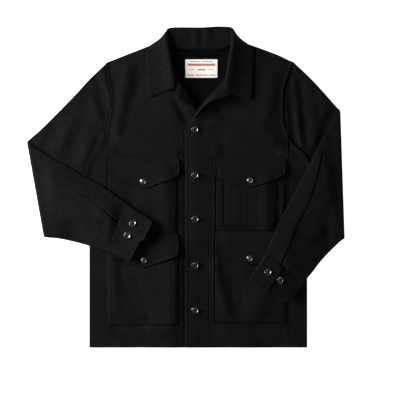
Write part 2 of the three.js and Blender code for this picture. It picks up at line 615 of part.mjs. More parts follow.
function sleeve(side) {
  const cut = SLEEVES[side];
  const armhole = ARMHOLES[side];
  const folds = side === 'right' ? SLEEVE_FOLDS_RIGHT : SLEEVE_FOLDS_LEFT;
  const parts = armholeParts(armhole);
  const outward = side === 'right' ? -1 : 1;
  const up = point(0, 0, 1);
  const rings = [];

  // Armhole ring: on the seams of the front and the back, a gap away from both
  const [top, pit] = [armhole[0], armhole[ARMPIT]];
  const seam = { edgeX: top.x, edgeY: top.y, underX: pit.x, underY: pit.y };
  const seamEnds = sectionEnds(seam, WOOL);
  const off = (layer, k) => {
    const before = layer[Math.max(k - 1, 0)];
    const after = layer[Math.min(k + 1, ARMPIT)];
    const along = after.clone().sub(before).normalize();
    const aside = point(along.y, -along.x);
    if (aside.x * outward < 0) aside.negate();
    return aside;
  };
  const seamLayer = (xKey, yKey, z) => {
    const line = armhole.map((row) => point(row[xKey], row[yKey], z));
    const inset = TUBE / 2 + WOOL / 2;
    const first = line[1].clone().sub(line[0]).normalize();
    const last = line[ARMPIT - 1].clone().sub(line[ARMPIT]).normalize();
    const moved = line.map((at, k) => sum(at, [off(line, k), 2 * GAP]));
    moved[0].addScaledVector(first, inset).addScaledVector(off(line, 0), END_CLEAR);
    moved[ARMPIT].addScaledVector(last, inset).addScaledVector(off(line, ARMPIT), END_CLEAR);
    return moved;
  };
  const frontSeam = seamLayer('x', 'y', FRONT_Z);
  const rearSeam = seamLayer('backX', 'backY', BACK_Z);
  rings.push(flatRing(frontSeam, rearSeam, seamEnds.way, up));

  // Upper arm: straight sections, easing out of the armhole's curve
  const ease = (line, k, z) => {
    const straight = sum(line[0], [line[ARMPIT].clone().sub(line[0]), parts[k]]);
    return line[k].clone().sub(straight).setZ(z);
  };
  cut.upper.forEach((row, i) => {
    const { edge, under, way } = sectionEnds(row, WOOL);
    const keep = Math.pow(1 - (i + 1) / (cut.upper.length + 1), EASE_POWER);
    const layer = (line, z, folded) => parts.map((part, k) => {
      const at = sum(edge, [under.clone().sub(edge), part], [ease(line, k, 0), keep]);
      at.z = z + (folded ? foldsAt(folds, at.x, at.y) : 0);
      return at;
    });
    rings.push(flatRing(layer(frontSeam, FRONT_Z, true), layer(rearSeam, BACK_Z, false), way, up));
  });

  // Elbow fold: half a turn about the fold line, so that the front layer ends up inside
  const bend = sectionEnds(cut.fold, WOOL);
  const across = point(bend.way.y, -bend.way.x);
  if (across.x * outward < 0) across.negate();
  const inset = ELBOW_FOLD + TUBE / 2 + WOOL / 2;
  const pivotZ = BACK_Z + TUBE / 2 + ELBOW_FOLD;
  for (const angle of ELBOW_ANGLES.map(degToRad)) {
    const normal = sum(point(0, 0), [across, -Math.sin(angle)], [up, Math.cos(angle)]);
    const layer = (distance) => parts.map((part) => {
      const pivot = sum(bend.edge, [bend.under.clone().sub(bend.edge), part], [across, -inset]);
      return sum(pivot, [up, pivotZ], [normal, distance - ELBOW_FOLD]);
    });
    rings.push(flatRing(layer(TUBE / 2), layer(-TUBE / 2), bend.way, normal));
  }

  // Forearm: hangs from the fold over what lies beneath, its rear layer now on top
  const foldUnder = pivotZ + ELBOW_FOLD - TUBE / 2;
  cut.forearm.forEach((row, i) => {
    const down = up.clone().negate();
    const { edge, under, way } = sectionEnds(row, WOOL);
    const far = (i + 1) / cut.forearm.length;
    const hanging = (at) => {
      const held = lerp(foldUnder, 0, smoothstep(far, 0, HANG_END));
      const last = i === cut.forearm.length - 1 ? (CUFF_WALL - WOOL) / 2 : 0;
      return Math.max(drape(side, cut, at.x, at.y) + ARM_CLEAR + WOOL / 2 + last, held);
    };
    const layer = (rear) => parts.map((part) => {
      const at = sum(edge, [under.clone().sub(edge), part]);
      at.z = hanging(at) + (rear ? TUBE : 0);
      return at;
    });
    rings.push(flatRing(layer(false), layer(true), way, down));
  });
  piece(`sleeve_${side}`, wallOf(rings, WOOL, true), COLOURS.wool);
}

// Surface of a cuff's middle plane: from its seam to its mouth, and across from edge to underarm
function cuffPlace(side, along, over) {
  const cut = SLEEVES[side];
  const seam = sectionEnds(cut.forearm[cut.forearm.length - 1], CUFF_WALL);
  const mouth = sectionEnds(cut.cuff[cut.cuff.length - 1], CUFF_WALL);
  const start = sum(seam.edge, [seam.under.clone().sub(seam.edge), over]);
  const end = sum(mouth.edge, [mouth.under.clone().sub(mouth.edge), over]);
  const ahead = end.clone().sub(start);
  const length = ahead.length();
  ahead.normalize();
  const at = sum(start, [ahead, 2 * GAP + along * (length - 2 * GAP)]);
  at.z = drape(side, cut, at.x, at.y) + ARM_CLEAR + CUFF_WALL / 2 + CUFF_LIFT * along * along;
  return { at, ahead };
}

function cuffTop(side, along, over) {
  const { at } = cuffPlace(side, along, over);
  const lapped = over < CUFF_STEP.at ? CUFF_STEP.depth : 0;
  return at.setZ(at.z + TUBE + lapped);
}

function cuff(side) {
  const cut = SLEEVES[side];
  const rings = steps(CUFF_ROWS).map((along) => {
    const { way } = sectionEnds(cut.cuff[0], CUFF_WALL);
    const lower = CUFF_COLUMNS.map((over) => cuffPlace(side, along, over).at);
    const upper = CUFF_COLUMNS.map((over) => {
      const { ahead } = cuffPlace(side, along, over);
      const longer = over < CUFF_STEP.at ? CUFF_STEP.length * along : 0;
      return sum(cuffTop(side, along, over), [ahead, longer]);
    });
    upper[0].setZ(lower[0].z + TUBE);
    return flatRing(lower, upper, way, point(0, 0, -1));
  });
  piece(`cuff_${side}`, wallOf(rings, CUFF_WALL, true), COLOURS.wool);
}

// Collar station at a part of the way from the right end to the left one
function collarStations() {
  const mirrored = COLLAR.slice(0, -1).reverse().map((row) => {
    const flip = { ...row, facing: 180 - row.facing };
    for (const key of ['seam', 'crest', 'edge']) {
      flip[`${key}X`] = 2 * NECK_X - row[`${key}X`];
      const low = Math.max(0, LEAF_DROP.from - row[`${key}Y`]) / LEAF_DROP.over;
      flip[`${key}Y`] = row[`${key}Y`] - LEAF_DROP.by * low * low;
      flip[`${key}Z`] = row[`${key}Z`] + LEAF_DROP.raise * low;
    }
    return flip;
  });
  return [...COLLAR, ...mirrored];
}

function collar() {
  const stations = collarStations();
  const rail = (...keys) => {
    const places = stations.map((row) => point(...keys.map((key) => row[key])));
    return new THREE.CatmullRomCurve3(places);
  };
  const seam = rail('seamX', 'seamY', 'seamZ');
  const crest = rail('crestX', 'crestY', 'crestZ');
  const edge = rail('edgeX', 'edgeY', 'edgeZ');
  const turning = rail('facing', 'tilt', 'bend');
  const rolling = rail('radius', 'radius', 'radius');
  const up = point(0, 0, 1);
  const rows = steps(COLLAR_ROWS).map((part) => {
    const angles = turning.getPoint(part);
    const [facing, tilt, bend] = [angles.x, angles.y, angles.z].map(degToRad);
    const radius = rolling.getPoint(part).x;
    const away = polar(facing);
    const over = sum(point(0, 0), [away, Math.cos(tilt)], [up, Math.sin(tilt)]);
    const inside = sum(point(0, 0), [away, -Math.sin(tilt)], [up, Math.cos(tilt)]);
    const centre = sum(crest.getPoint(part), [over, -radius]);
    const roll = COLLAR_ROLL.map((turn) => sum(centre,
      [over, radius * Math.cos(turn * bend)], [inside, radius * Math.sin(turn * bend)]));
    const start = seam.getPoint(part);
    const end = edge.getPoint(part);
    const stand = COLLAR_STAND.map((far) => start.clone().lerp(roll[0], far));
    const leaf = COLLAR_LEAF.map((far) => roll[roll.length - 1].clone().lerp(end, far));
    return [...stand, ...roll, ...leaf];
  });
  piece('collar', wallOf(rows, COLLAR_WALL), COLOURS.wool);
}

// Lapel: curls up over the front's edge at the roll line and lies back on the front
function lapel(side) {
  const table = side === 'right' ? LAPEL_RIGHT : LAPEL_LEFT;
  const edge = FRONT_EDGES[side];
  const rows = table.map((row) => {
    const near = nearest(edge, row.rollX, row.rollY);
    const foot = point(lerp(edge[near.leg].x, edge[near.leg + 1].x, near.part),
      lerp(edge[near.leg].y, edge[near.leg + 1].y, near.part));
    const out = foot.clone().sub(point(row.rollX, row.rollY)).normalize();
    const z = frontZ(side, foot.x, foot.y);
    const centre = sum(foot, [out, -LAPEL_CLEAR]).setZ(z + LAPEL_CURL);
    const curl = LAPEL_ANGLES.map(degToRad).map((angle) => sum(centre,
      [out, LAPEL_CURL * Math.cos(angle)], [point(0, 0, 1), LAPEL_CURL * Math.sin(angle)]));
    const outer = point(row.outerX, row.outerY);
    outer.z = frontZ(side, outer.x, outer.y) + WOOL + LAY + row.flare;
    const flat = LAPEL_FLAT.map((part) => {
      const at = curl[curl.length - 1].clone().lerp(outer, part);
      at.z = Math.max(at.z, frontZ(side, at.x, at.y) + WOOL + LAY + row.flare * part);
      return at;
    });
    return [...curl, ...flat];
  });
  piece(`lapel_${side}`, wallOf(rows, WOOL), COLOURS.wool);
}

// A thin strip or label on the inside of the back
function onBack(name, { left, right, top, bottom, wall, bow = 0 }, colour, across = 6, along = 2) {
  const rows = steps(along).map((up) => steps(across).map((over) => {
    const x = lerp(left, right, over);
    const y = lerp(bottom, top, up) - bow * Math.sin(Math.PI * over);
    return point(x, y, backZ(x, y) + WOOL / 2 + GAP + wall / 2);
  }));
  piece(name, wallOf(rows, wall), colour);
}

// A button or snap turned from its half outline, from the middle of its base to the middle of its top
function turned(name, outline, sides, at, colour, roughness) {
  const profile = outline.map(([radius, height]) => new THREE.Vector2(radius, height));
  const mesh = piece(name, new THREE.LatheGeometry(profile, sides), colour, roughness);
  mesh.rotation.x = Math.PI / 2;
  mesh.position.copy(at);
}

function button(name, at) {
  const { radius, height, rim, dish } = BUTTON;
  const outline = [
    [0, 0],
    [radius - rim, 0],
    [radius, height / 2],
    [radius - rim / 2, height],
    [radius - 2 * rim, height],
    [radius - 3 * rim, height - dish],
    [0, height - dish],
  ];
  turned(name, outline, 14, at, COLOURS.button, 0.25);
}

function snap(name, at) {
  const { radius, height } = SNAP;
  const outline = [
    [0, 0],
    [radius - 0.5, 0],
    [radius, height * 0.4],
    [radius * 0.8, height * 0.75],
    [radius * 0.4, height * 0.97],
    [0, height],
  ];
  turned(name, outline, 14, at, COLOURS.snap, 0.25);
}

back();
for (const side of ['right', 'left']) {
  front(side);
  lapel(side);
  sleeve(side);
  cuff(side);
}
collar();
POCKETS.forEach((row) => pocket(row, POCKET_ABOVE));
pocket(PENCIL_POCKET, PENCIL_ABOVE);
FLAPS.forEach(flap);
onBack('neck_tape', TAPE, COLOURS.tape);
onBack('hanger_loop', LOOP, COLOURS.tape);
onBack('label', LABEL, COLOURS.label, 6, 5);

FRONT_BUTTONS.ys.forEach((y, i) => {
  const { x } = FRONT_BUTTONS;
  const under = [-BUTTON.radius, 0, BUTTON.radius].map((step) => frontZ('left', x, y + step));
  button(`button_front_${i + 1}`, point(x, y, Math.max(...under) + WOOL / 2 + LAY));
});
for (const side of ['right', 'left']) {
  CUFF_BUTTONS[side].forEach(({ across, along }, i) => {
    const at = cuffTop(side, along, across);
    button(`button_cuff_${side}_${i + 1}`, at.setZ(at.z + CUFF_WALL / 2 + 2 * LAY));
  });
}
FLAPS.forEach((row) => {
  const side = row.left < 0 ? 'right' : 'left';
  const [x, y] = [row.pointX, row.top - row.depth + SNAP_UP];
  const z = frontZ(side, x, y) + flapAbove(row, x, y) + FLAP_WALL + LAY;
  snap(row.name.replace('flap', 'snap'), point(x, y, z));
});

// Origin at the middle of the base
const box = new THREE.Box3().setFromObject(jacket);
const middle = box.getCenter(point(0, 0));
jacket.position.set(-middle.x, -middle.y, -box.min.z);

export default jacket;
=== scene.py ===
# %% [markdown]
# # Mackinaw jacket, laid flat
# A heavy black wool jacket lies on its back with both arms folded over the fronts. It is cloth all
# over, so nearly every piece here is one cut panel: a grid of points in the middle of the cloth,
# given a wall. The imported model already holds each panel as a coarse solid. This script draws each
# of them again on a fine grid, from the same measures, and adds what a sewing room adds: lapped
# seams, rows of stitches, creases, buttonholes, buttons and snaps.

import math

import bpy
import numpy as np
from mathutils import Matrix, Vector
from mathutils.bvhtree import BVHTree


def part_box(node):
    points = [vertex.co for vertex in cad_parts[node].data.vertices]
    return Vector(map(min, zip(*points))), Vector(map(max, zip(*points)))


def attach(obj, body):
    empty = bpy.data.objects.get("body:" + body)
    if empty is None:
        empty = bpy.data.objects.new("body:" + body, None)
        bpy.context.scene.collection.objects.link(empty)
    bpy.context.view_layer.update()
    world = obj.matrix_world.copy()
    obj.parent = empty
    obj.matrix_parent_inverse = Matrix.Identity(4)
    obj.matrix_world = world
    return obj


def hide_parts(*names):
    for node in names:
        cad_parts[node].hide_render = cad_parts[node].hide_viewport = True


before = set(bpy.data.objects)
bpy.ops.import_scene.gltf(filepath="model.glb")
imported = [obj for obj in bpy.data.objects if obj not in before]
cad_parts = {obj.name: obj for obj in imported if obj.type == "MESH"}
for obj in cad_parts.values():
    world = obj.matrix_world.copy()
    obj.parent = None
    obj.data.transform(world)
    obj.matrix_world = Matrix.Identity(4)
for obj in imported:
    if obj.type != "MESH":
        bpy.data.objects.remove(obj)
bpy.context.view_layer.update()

# %% [markdown]
# The measures below are in millimetres on the jacket as it lies: x is 0 at the middle of the hem
# and y is 0 along the hem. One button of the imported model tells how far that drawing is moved, so
# each fine panel lands on its own solid. Left and right are the wearer's.

# %% Sizes of the cloth
WOOL = 2.2  # one layer
FLAP_WALL = 2.8  # two layers pressed together, as are the next two
CUFF_WALL = 3.4
COLLAR_WALL = 3.5  # with its interlining
GAP = 0.3  # between layers that are sewn together
LAY = 0.6  # between a piece and the one it lies on
LAP = 1.6  # how far a lapped seam's upper panel covers the lower one
SIDE_FOLD = 2.75  # radius of the turned sides of the body and the sleeves
TUBE = 2 * SIDE_FOLD
ELBOW_FOLD = 5  # radius of the turn at the elbow
ARM_CLEAR = 1.5  # between a forearm and what it lies on
ARM_MARGIN = 6  # an upper arm still lifts a forearm this far past its edge
BACK_Z = WOOL / 2
FRONT_Z = BACK_Z + TUBE
WAIST_Y = 266  # a side seam is upright below this and leans above it
NECK_X = 4.5  # middle of the neck
EDGE = {"right": -283, "left": 283}  # sides of the body
SEAM_FOOT = {"right": -237, "left": 231.5}  # side seams at the hem
SIGN = {"right": -1, "left": 1}
MIDDLE_BUTTON = (-8, 334, 0)

low, high = (np.array(corner) * 1000 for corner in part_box("button_front_3"))
MOVE = (low + high) / 2 - np.array(MIDDLE_BUTTON)
MOVE[2] = 0
print("drawing moved by", MOVE.round(2), "mm")

# %% Armholes, front edges and the back's top edge
# Armhole rows: x, y on the front, x, y on the back
ARMHOLES = {
    "right": np.array([
        (-237, 740, -237, 740), (-235, 711, -238, 711), (-226, 673, -238, 680),
        (-222, 635, -241, 650), (-226, 605, -244, 618), (-233, 573, -248, 585),
        (-241, 536, -256, 545), (-267, 503, -269, 505), (-281, 469, -281, 469),
        (-287, 439, -287, 439), (-297, 409, -297, 409)], float),
    "left": np.array([
        (246, 741, 246, 741), (233, 712, 245.5, 712), (222, 680, 246, 684),
        (218, 645, 248, 655), (218, 607, 251, 622), (222, 573, 255, 590),
        (231.5, 546, 260, 560), (256, 519, 270, 525), (281, 497, 281, 497),
        (292, 468, 292, 468), (298.5, 422, 298.5, 422)], float),
}
SEAM_TOP = 6  # the row where the side seam meets the armhole
ARMPIT = 10  # the last row, at the side of the body
# Front edge rows: x, y, height of the edge above the flat front
FRONT_EDGES = {
    "right": np.array([
        (20, 0, 0), (20, 133, 0), (20, 266, 0), (20, 401, 0), (20, 540, 0), (8, 592, 1),
        (-10, 622, 6), (-32, 654, 8), (-53, 687, 8), (-70, 735, 5), (-84, 800, 1)], float),
    "left": np.array([
        (-33, 0, 0), (-33, 133, 0), (-33, 266, 0), (-33, 401, 0), (-33, 548, 0), (-24, 574, 1),
        (3, 616, 8), (35, 653, 11), (68, 687, 9), (79, 735, 5), (93, 801, 1)], float),
}
SEAM_ROWS = 4  # front edge rows that lie across from the side seam
# Back rows: x, y along the top, x at the hem
BACK_TOP = np.array([
    (-195.5, 757, -168), (-121.5, 785.3, -118), (-83, 800, -80), (-71, 789, -68),
    (-58, 779.5, -54), (-20, 777.5, -20), (25, 777.5, 25), (67, 779.5, 63), (80, 789, 77),
    (92, 800, 89), (130.5, 787.5, 127), (204.5, 761, 170)], float)
SHOULDER_HEM = 190  # x at the hem of the column below a shoulder's tip
NECK_POINT = {"right": -84, "left": 93, "y": 800}  # where the shoulders meet the neck
print("the armholes have", len(ARMHOLES["right"]), "places each, the back's top", len(BACK_TOP))

# %% [markdown]
# ## How a panel is drawn
# Blender could give a plane a Solidify and a Subdivision Surface modifier, but a seam needs its
# points exactly where it runs. So the points are worked out as arrays: curves through the
# measured places by a spline that never overshoots, closer steps near each seam and stitch row,
# and last a wall with a rounded rim all round, which is what makes thick wool look thick.

# %% Curves and steps


def ease(value, start, stop):
    """0 before start, 1 after stop and a soft S between them."""
    part = np.clip((np.asarray(value, float) - start) / (stop - start), 0, 1)
    return part * part * (3 - 2 * part)


def unit(vectors):
    """Vectors brought to length 1."""
    size = np.linalg.norm(vectors, axis=-1, keepdims=True)
    return vectors / np.maximum(size, 1e-9)


def spline(values, knots, places):
    """Values along axis 0, given at knots, at other places, with no overshoot between them."""
    values, knots, places = (np.asarray(a, float) for a in (values, knots, places))
    flat = values.reshape(len(knots), -1)
    gap = np.diff(knots)[:, None]
    slope = np.diff(flat, axis=0) / gap
    turn = np.zeros_like(flat)
    before, after = slope[:-1], slope[1:]
    w1 = 2 * gap[1:] + gap[:-1]
    w2 = gap[1:] + 2 * gap[:-1]
    same = before * after > 0
    safe_before = np.where(same, before, 1)
    safe_after = np.where(same, after, 1)
    turn[1:-1] = np.where(same, (w1 + w2) / (w1 / safe_before + w2 / safe_after), 0)
    turn[0], turn[-1] = slope[0], slope[-1]
    leg = np.clip(np.searchsorted(knots, places, side="right") - 1, 0, len(knots) - 2)
    step = gap[leg]
    t = (places - knots[leg])[:, None] / step
    result = (flat[leg] * (1 + 2 * t) * (1 - t) ** 2 + step * turn[leg] * t * (1 - t) ** 2
              + flat[leg + 1] * t * t * (3 - 2 * t) + step * turn[leg + 1] * t * t * (t - 1))
    return result.reshape((len(places),) + values.shape[1:])


def run(points):
    """Distance along a path of points at each of them."""
    return np.concatenate([[0], np.cumsum(np.linalg.norm(np.diff(points, axis=0), axis=-1))])


def ticks(length, near=(), fine=1.3, coarse=5.0, reach=7.0):
    """Places from 0 to length: close together near the listed ones, and far apart elsewhere."""
    places = [0.0, 2.4]
    while places[-1] < length - 2.4:
        away = min([abs(places[-1] - at) for at in near] or [length])
        places.append(places[-1] + fine + (coarse - fine) * float(ease(away, reach / 2, 2 * reach)))
    places = np.array(places[:-1] + [length])
    if places[-1] - places[-2] < 1.6:
        places = np.delete(places, -2)
    return places


def nearest(path, x, y):
    """Distance to a path, and the place of its nearest point as a row number with a fraction."""
    best = np.full(np.shape(x), np.inf)
    place = np.zeros(np.shape(x))
    for leg in range(len(path) - 1):
        ax, ay = path[leg][:2]
        dx, dy = path[leg + 1][0] - ax, path[leg + 1][1] - ay
        part = np.clip(((x - ax) * dx + (y - ay) * dy) / (dx * dx + dy * dy), 0, 1)
        away = np.hypot(x - ax - part * dx, y - ay - part * dy)
        place = np.where(away < best, leg + part, place)
        best = np.minimum(best, away)
    return best, place


def beside(path, x, y):
    """Distance to a path, positive on its left side and negative on its right side."""
    away, place = nearest(path, x, y)
    path = np.asarray(path, float)
    leg = np.minimum(place.astype(int), len(path) - 2)
    way = path[leg + 1][..., :2] - path[leg][..., :2]
    left = way[..., 0] * (y - path[leg][..., 1]) - way[..., 1] * (x - path[leg][..., 0])
    return away * np.sign(left)


def folds_at(folds, x, y):
    """Height that soft folds add at a place. Rows: from x, y, to x, y, width, height."""
    height = np.zeros(np.shape(x))
    for x1, y1, x2, y2, width, rise in folds:
        away, place = nearest([(x1, y1), (x2, y2)], x, y)
        height = height + rise * np.exp(-(away / width) ** 2)
    return height


# %% A panel with a wall and a rounded rim
RIM_STEPS = (50, 0, -50)  # degrees round the rim, from the top face to the bottom one


def cloth(name, middle, wall, tube=False, swell=None):
    """A closed panel from middle[row, column], in mm. swell moves its points along their normals."""

    def frames(points):
        if tube:
            across = np.roll(points, -1, 1) - np.roll(points, 1, 1)
        else:
            across = np.gradient(points, axis=1)
        along = np.gradient(points, axis=0)
        return across, along, unit(np.cross(across, along))

    across, along, normal = frames(middle)
    if swell is not None:
        middle = middle + normal * swell[..., None]
        across, along, normal = frames(middle)
    rows, columns = middle.shape[:2]
    number = np.arange(rows * columns).reshape(rows, columns)
    outward = np.zeros_like(middle)
    outward[0] -= unit(along[0])
    outward[-1] += unit(along[-1])
    if tube:
        loops = [number[0], number[-1][::-1]]
    else:
        outward[:, 0] -= unit(across[:, 0])
        outward[:, -1] += unit(across[:, -1])
        loops = [np.concatenate([number[0], number[1:, -1], number[-1, -2::-1], number[-2:0:-1, 0]])]
    outward = unit(outward).reshape(-1, 3)
    flat, up = middle.reshape(-1, 3), normal.reshape(-1, 3)
    wall = np.broadcast_to(wall, (rows, columns)).reshape(-1, 1)
    base = flat - outward * wall / 2
    points = [base + up * wall / 2, base - up * wall / 2]
    u = run(middle.mean(axis=0)) if not tube else run(middle[rows // 2])
    v = run(middle.mean(axis=1))
    uv = np.stack(np.meshgrid(u, v), axis=-1).reshape(-1, 2) / 1000
    uvs = [uv, uv]
    last = columns if tube else columns - 1
    j = np.arange(last)
    k = (j + 1) % columns
    faces = []
    for i in range(rows - 1):
        top = np.stack([number[i, j], number[i, k], number[i + 1, k], number[i + 1, j]], axis=-1)
        faces += [top, top[:, ::-1] + rows * columns]
    start = 2 * rows * columns
    for loop in loops:
        rings = [loop]
        for angle in RIM_STEPS:
            a = math.radians(angle)
            way = outward[loop] * math.cos(a) + up[loop] * math.sin(a)
            points.append(base[loop] + wall[loop] / 2 * way)
            uvs.append(uv[loop])
            rings.append(np.arange(len(loop)) + start)
            start += len(loop)
        rings.append(loop + rows * columns)
        for a, b in zip(rings, rings[1:]):
            faces.append(np.stack([a, b, np.roll(b, -1), np.roll(a, -1)], axis=-1))
    points = (np.concatenate(points) + MOVE) / 1000
    faces = np.concatenate(faces)
    mesh = bpy.data.meshes.new(name)
    mesh.from_pydata(points.tolist(), [], faces.tolist())
    mesh.polygons.foreach_set("use_smooth", np.ones(len(faces), bool))
    layer = mesh.uv_layers.new(name="cloth")
    corners = np.zeros(len(mesh.loops), np.int32)
    mesh.loops.foreach_get("vertex_index", corners)
    layer.data.foreach_set("uv", np.concatenate(uvs)[corners].ravel())
    panel = bpy.data.objects.new(name, mesh)
    bpy.context.collection.objects.link(panel)
    print(f"{name}: {len(faces) * 2} triangles")
    return panel


def dress(panel, node, finish, flat=None, area=None, held="laid", on=(), extra=()):
    """Gives a panel its finish, and puts it on the jacket in place of its solid."""
    panel.data.materials.append(finish)
    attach(panel, "root")
    if node:
        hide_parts(node)


# %% [markdown]
# ## Materials
# The cloth is fulled wool melton: woollen yarn, woven, then shrunk and brushed until the weave is
# almost lost in short fuzz. It is black, very matt, and scatters a little light at grazing angles,
# which the Sheen of the Principled shader is made for. Buttons are polished polyester, the snaps
# brass caps plated in gunmetal, thread is polyester, and the label is a satin ribbon. A scanned
# cloth would be quicker, but it blurs close up, so each pattern is nodes scaled from a real size.

# %% Material helpers


def linear(hexcolour):
    """An sRGB hex value as linear colour."""
    parts = [int(hexcolour[i:i + 2], 16) / 255 for i in (0, 2, 4)]
    return [c / 12.92 if c <= 0.04045 else ((c + 0.055) / 1.055) ** 2.4 for c in parts] + [1.0]


def add(tree, kind, links=None, **settings):
    """Adds a node. Settings are sockets by name, or its own properties; links feed its sockets."""
    node = tree.nodes.new(kind)
    for key, value in settings.items():
        if hasattr(node, key):
            setattr(node, key, value)
        else:
            node.inputs[key.replace("_", " ")].default_value = value
    for key, source in (links or {}).items():
        tree.links.new(source, node.inputs[key])
    return node


def material(name, base, roughness, **sockets):
    """A material with its Principled shader set."""
    made = bpy.data.materials.new(name)
    made.use_nodes = True
    shader = made.node_tree.nodes["Principled BSDF"]
    shader.inputs["Base Color"].default_value = linear(base)
    shader.inputs["Roughness"].default_value = roughness
    for key, value in sockets.items():
        shader.inputs[key.replace("_", " ")].default_value = value
    return made, made.node_tree, shader


def own_place(tree):
    """A link that lays a pattern on the piece's own coordinates."""
    return {"Vector": add(tree, "ShaderNodeTexCoord").outputs["Object"]}


# %% Wool
WAVE_BANDS = 3.14  # a wave texture of scale 1 has about this many bands to a unit
BLOTCH, FUZZ = 34, 3.4  # mm across the blotches of the dye and the tufts of the nap
TWILL = 1.7  # mm between the twill's wales, drawn wider than the real 1.3 so that they show
SLUB = (3, 9)  # mm across and along the short thick places in the woollen yarn
BLOTCH_SHARE, SLUB_SHARE = 0.3, 0.6
DARKEST, LIGHTEST = 0.76, 1.2  # sums of the noises that give the darker and the lighter colour
WOOL_BUMP = 0.0006  # depth in metres of a full step of the nap


def wool_melton(name, dark, light, nap):
    """Fulled wool: mottled black, a twill just seen through the nap, and fuzz."""
    made, tree, shader = material(name, dark, 0.94, Sheen_Weight=0.03, Sheen_Roughness=0.6,
                                  Specular_IOR_Level=0.08)
    shader.inputs["Sheen Tint"].default_value = linear("8c919c")
    place = add(tree, "ShaderNodeTexCoord")
    blotch = add(tree, "ShaderNodeTexNoise", {"Vector": place.outputs["Object"]},
                 Scale=1000 / BLOTCH, Detail=3, Roughness=0.6)
    nap_noise = add(tree, "ShaderNodeTexNoise", {"Vector": place.outputs["Object"]},
                    Scale=1000 / FUZZ, Detail=4, Roughness=0.7)
    twill = add(tree, "ShaderNodeTexWave", {"Vector": place.outputs["UV"]}, bands_direction="DIAGONAL",
                Scale=1000 / TWILL / WAVE_BANDS, Distortion=3.5, Detail=2)
    mix = add(tree, "ShaderNodeMath", {0: blotch.outputs["Fac"], 2: nap_noise.outputs["Fac"]},
              operation="MULTIPLY_ADD")
    mix.inputs[1].default_value = BLOTCH_SHARE
    along = add(tree, "ShaderNodeMapping", {"Vector": place.outputs["UV"]},
                Scale=(1000 / SLUB[0], 1000 / SLUB[1], 1))
    slub = add(tree, "ShaderNodeTexNoise", {"Vector": along.outputs["Vector"]}, Scale=1, Detail=2)
    fleck = add(tree, "ShaderNodeMath", {0: slub.outputs["Fac"], 2: mix.outputs[0]},
                operation="MULTIPLY_ADD")
    fleck.inputs[1].default_value = SLUB_SHARE
    tone = add(tree, "ShaderNodeMapRange", {"Value": fleck.outputs[0]}, From_Min=DARKEST, From_Max=LIGHTEST)
    colour = add(tree, "ShaderNodeMix", {"Factor": tone.outputs[0]}, data_type="RGBA")
    for socket in colour.inputs:
        if socket.type == "RGBA":
            socket.default_value = linear(dark if socket.name == "A" else light)
    tree.links.new([out for out in colour.outputs if out.type == "RGBA"][0], shader.inputs["Base Color"])
    relief = add(tree, "ShaderNodeMath", {0: twill.outputs["Fac"], 1: nap_noise.outputs["Fac"]},
                 operation="ADD")
    bump = add(tree, "ShaderNodeBump", {"Height": relief.outputs[0]}, Strength=nap, Distance=WOOL_BUMP)
    tree.links.new(bump.outputs[0], shader.inputs["Normal"])
    return made


# Fulled wool melton, black: matt, mottled, with a faint bloom of fuzz
WOOL_MELTON = wool_melton("wool_melton_black", "040405", "141417", 0.7)
# The same cloth inside, which no brush has raised, so its nap is flatter; its darker colour is painted shade, for
# the shade the collar casts into the neck
WOOL_INSIDE_PAINTED_SHADE = wool_melton("wool_melton_inside_painted_shade", "010102", "060608", 0.6)

# %% Thread, button, snap and tape
# Spun polyester thread: a low sheen that catches the light along each stitch
THREAD, tree, shader = material("polyester_thread_black", "060607", 0.7, Specular_IOR_Level=0.12)
lint = add(tree, "ShaderNodeTexNoise", own_place(tree), Scale=1000 / 0.8)
bump = add(tree, "ShaderNodeBump", {"Height": lint.outputs["Fac"]}, Strength=0.4, Distance=0.0001)
tree.links.new(bump.outputs[0], shader.inputs["Normal"])

# Cast polyester resin, polished: black with cloudy brown depths and sharp highlights. Its IOR is
# above the resin's own 1.55, to bring back the glints that so small a button loses in the picture
BUTTON_RESIN, tree, shader = material("polyester_resin_black", "060606", 0.22, Coat_Weight=1.0,
                                      Coat_Roughness=0.14, IOR=2.15)
cloud = add(tree, "ShaderNodeTexNoise", own_place(tree), Scale=1000 / 6, Detail=3, Distortion=1.2)
ramp = add(tree, "ShaderNodeValToRGB", {"Fac": cloud.outputs["Fac"]})
ramp.color_ramp.elements[0].color = linear("050505")
ramp.color_ramp.elements[1].color = linear("121110")
tree.links.new(ramp.outputs["Color"], shader.inputs["Base Color"])

# Brass cap plated in gunmetal: dark, with wide bright reflections, a little uneven
SNAP_PLATE, tree, shader = material("gunmetal_plated_brass", "8a8a8e", 0.25, Metallic=1.0)
peel = add(tree, "ShaderNodeTexNoise", own_place(tree), Scale=1000 / 2)
worn = add(tree, "ShaderNodeMapRange", {"Value": peel.outputs["Fac"]}, To_Min=0.2, To_Max=0.34)
tree.links.new(worn.outputs[0], shader.inputs["Roughness"])

# Cotton tape, black: fine ribs 1.2 mm apart. Its colour is set darker still as painted shade, for the shade inside
# the neck where the tape and the hanger strip lie
TAPE_COTTON_PAINTED_SHADE, tree, shader = material("cotton_tape_black_painted_shade", "030304", 0.9, Specular_IOR_Level=0.05)
rib = add(tree, "ShaderNodeTexWave", own_place(tree), Scale=1000 / 1.2 / WAVE_BANDS, Distortion=0.6)
bump = add(tree, "ShaderNodeBump", {"Height": rib.outputs["Fac"]}, Strength=0.5, Distance=0.0002)
tree.links.new(bump.outputs[0], shader.inputs["Normal"])

# %% Satin of the label


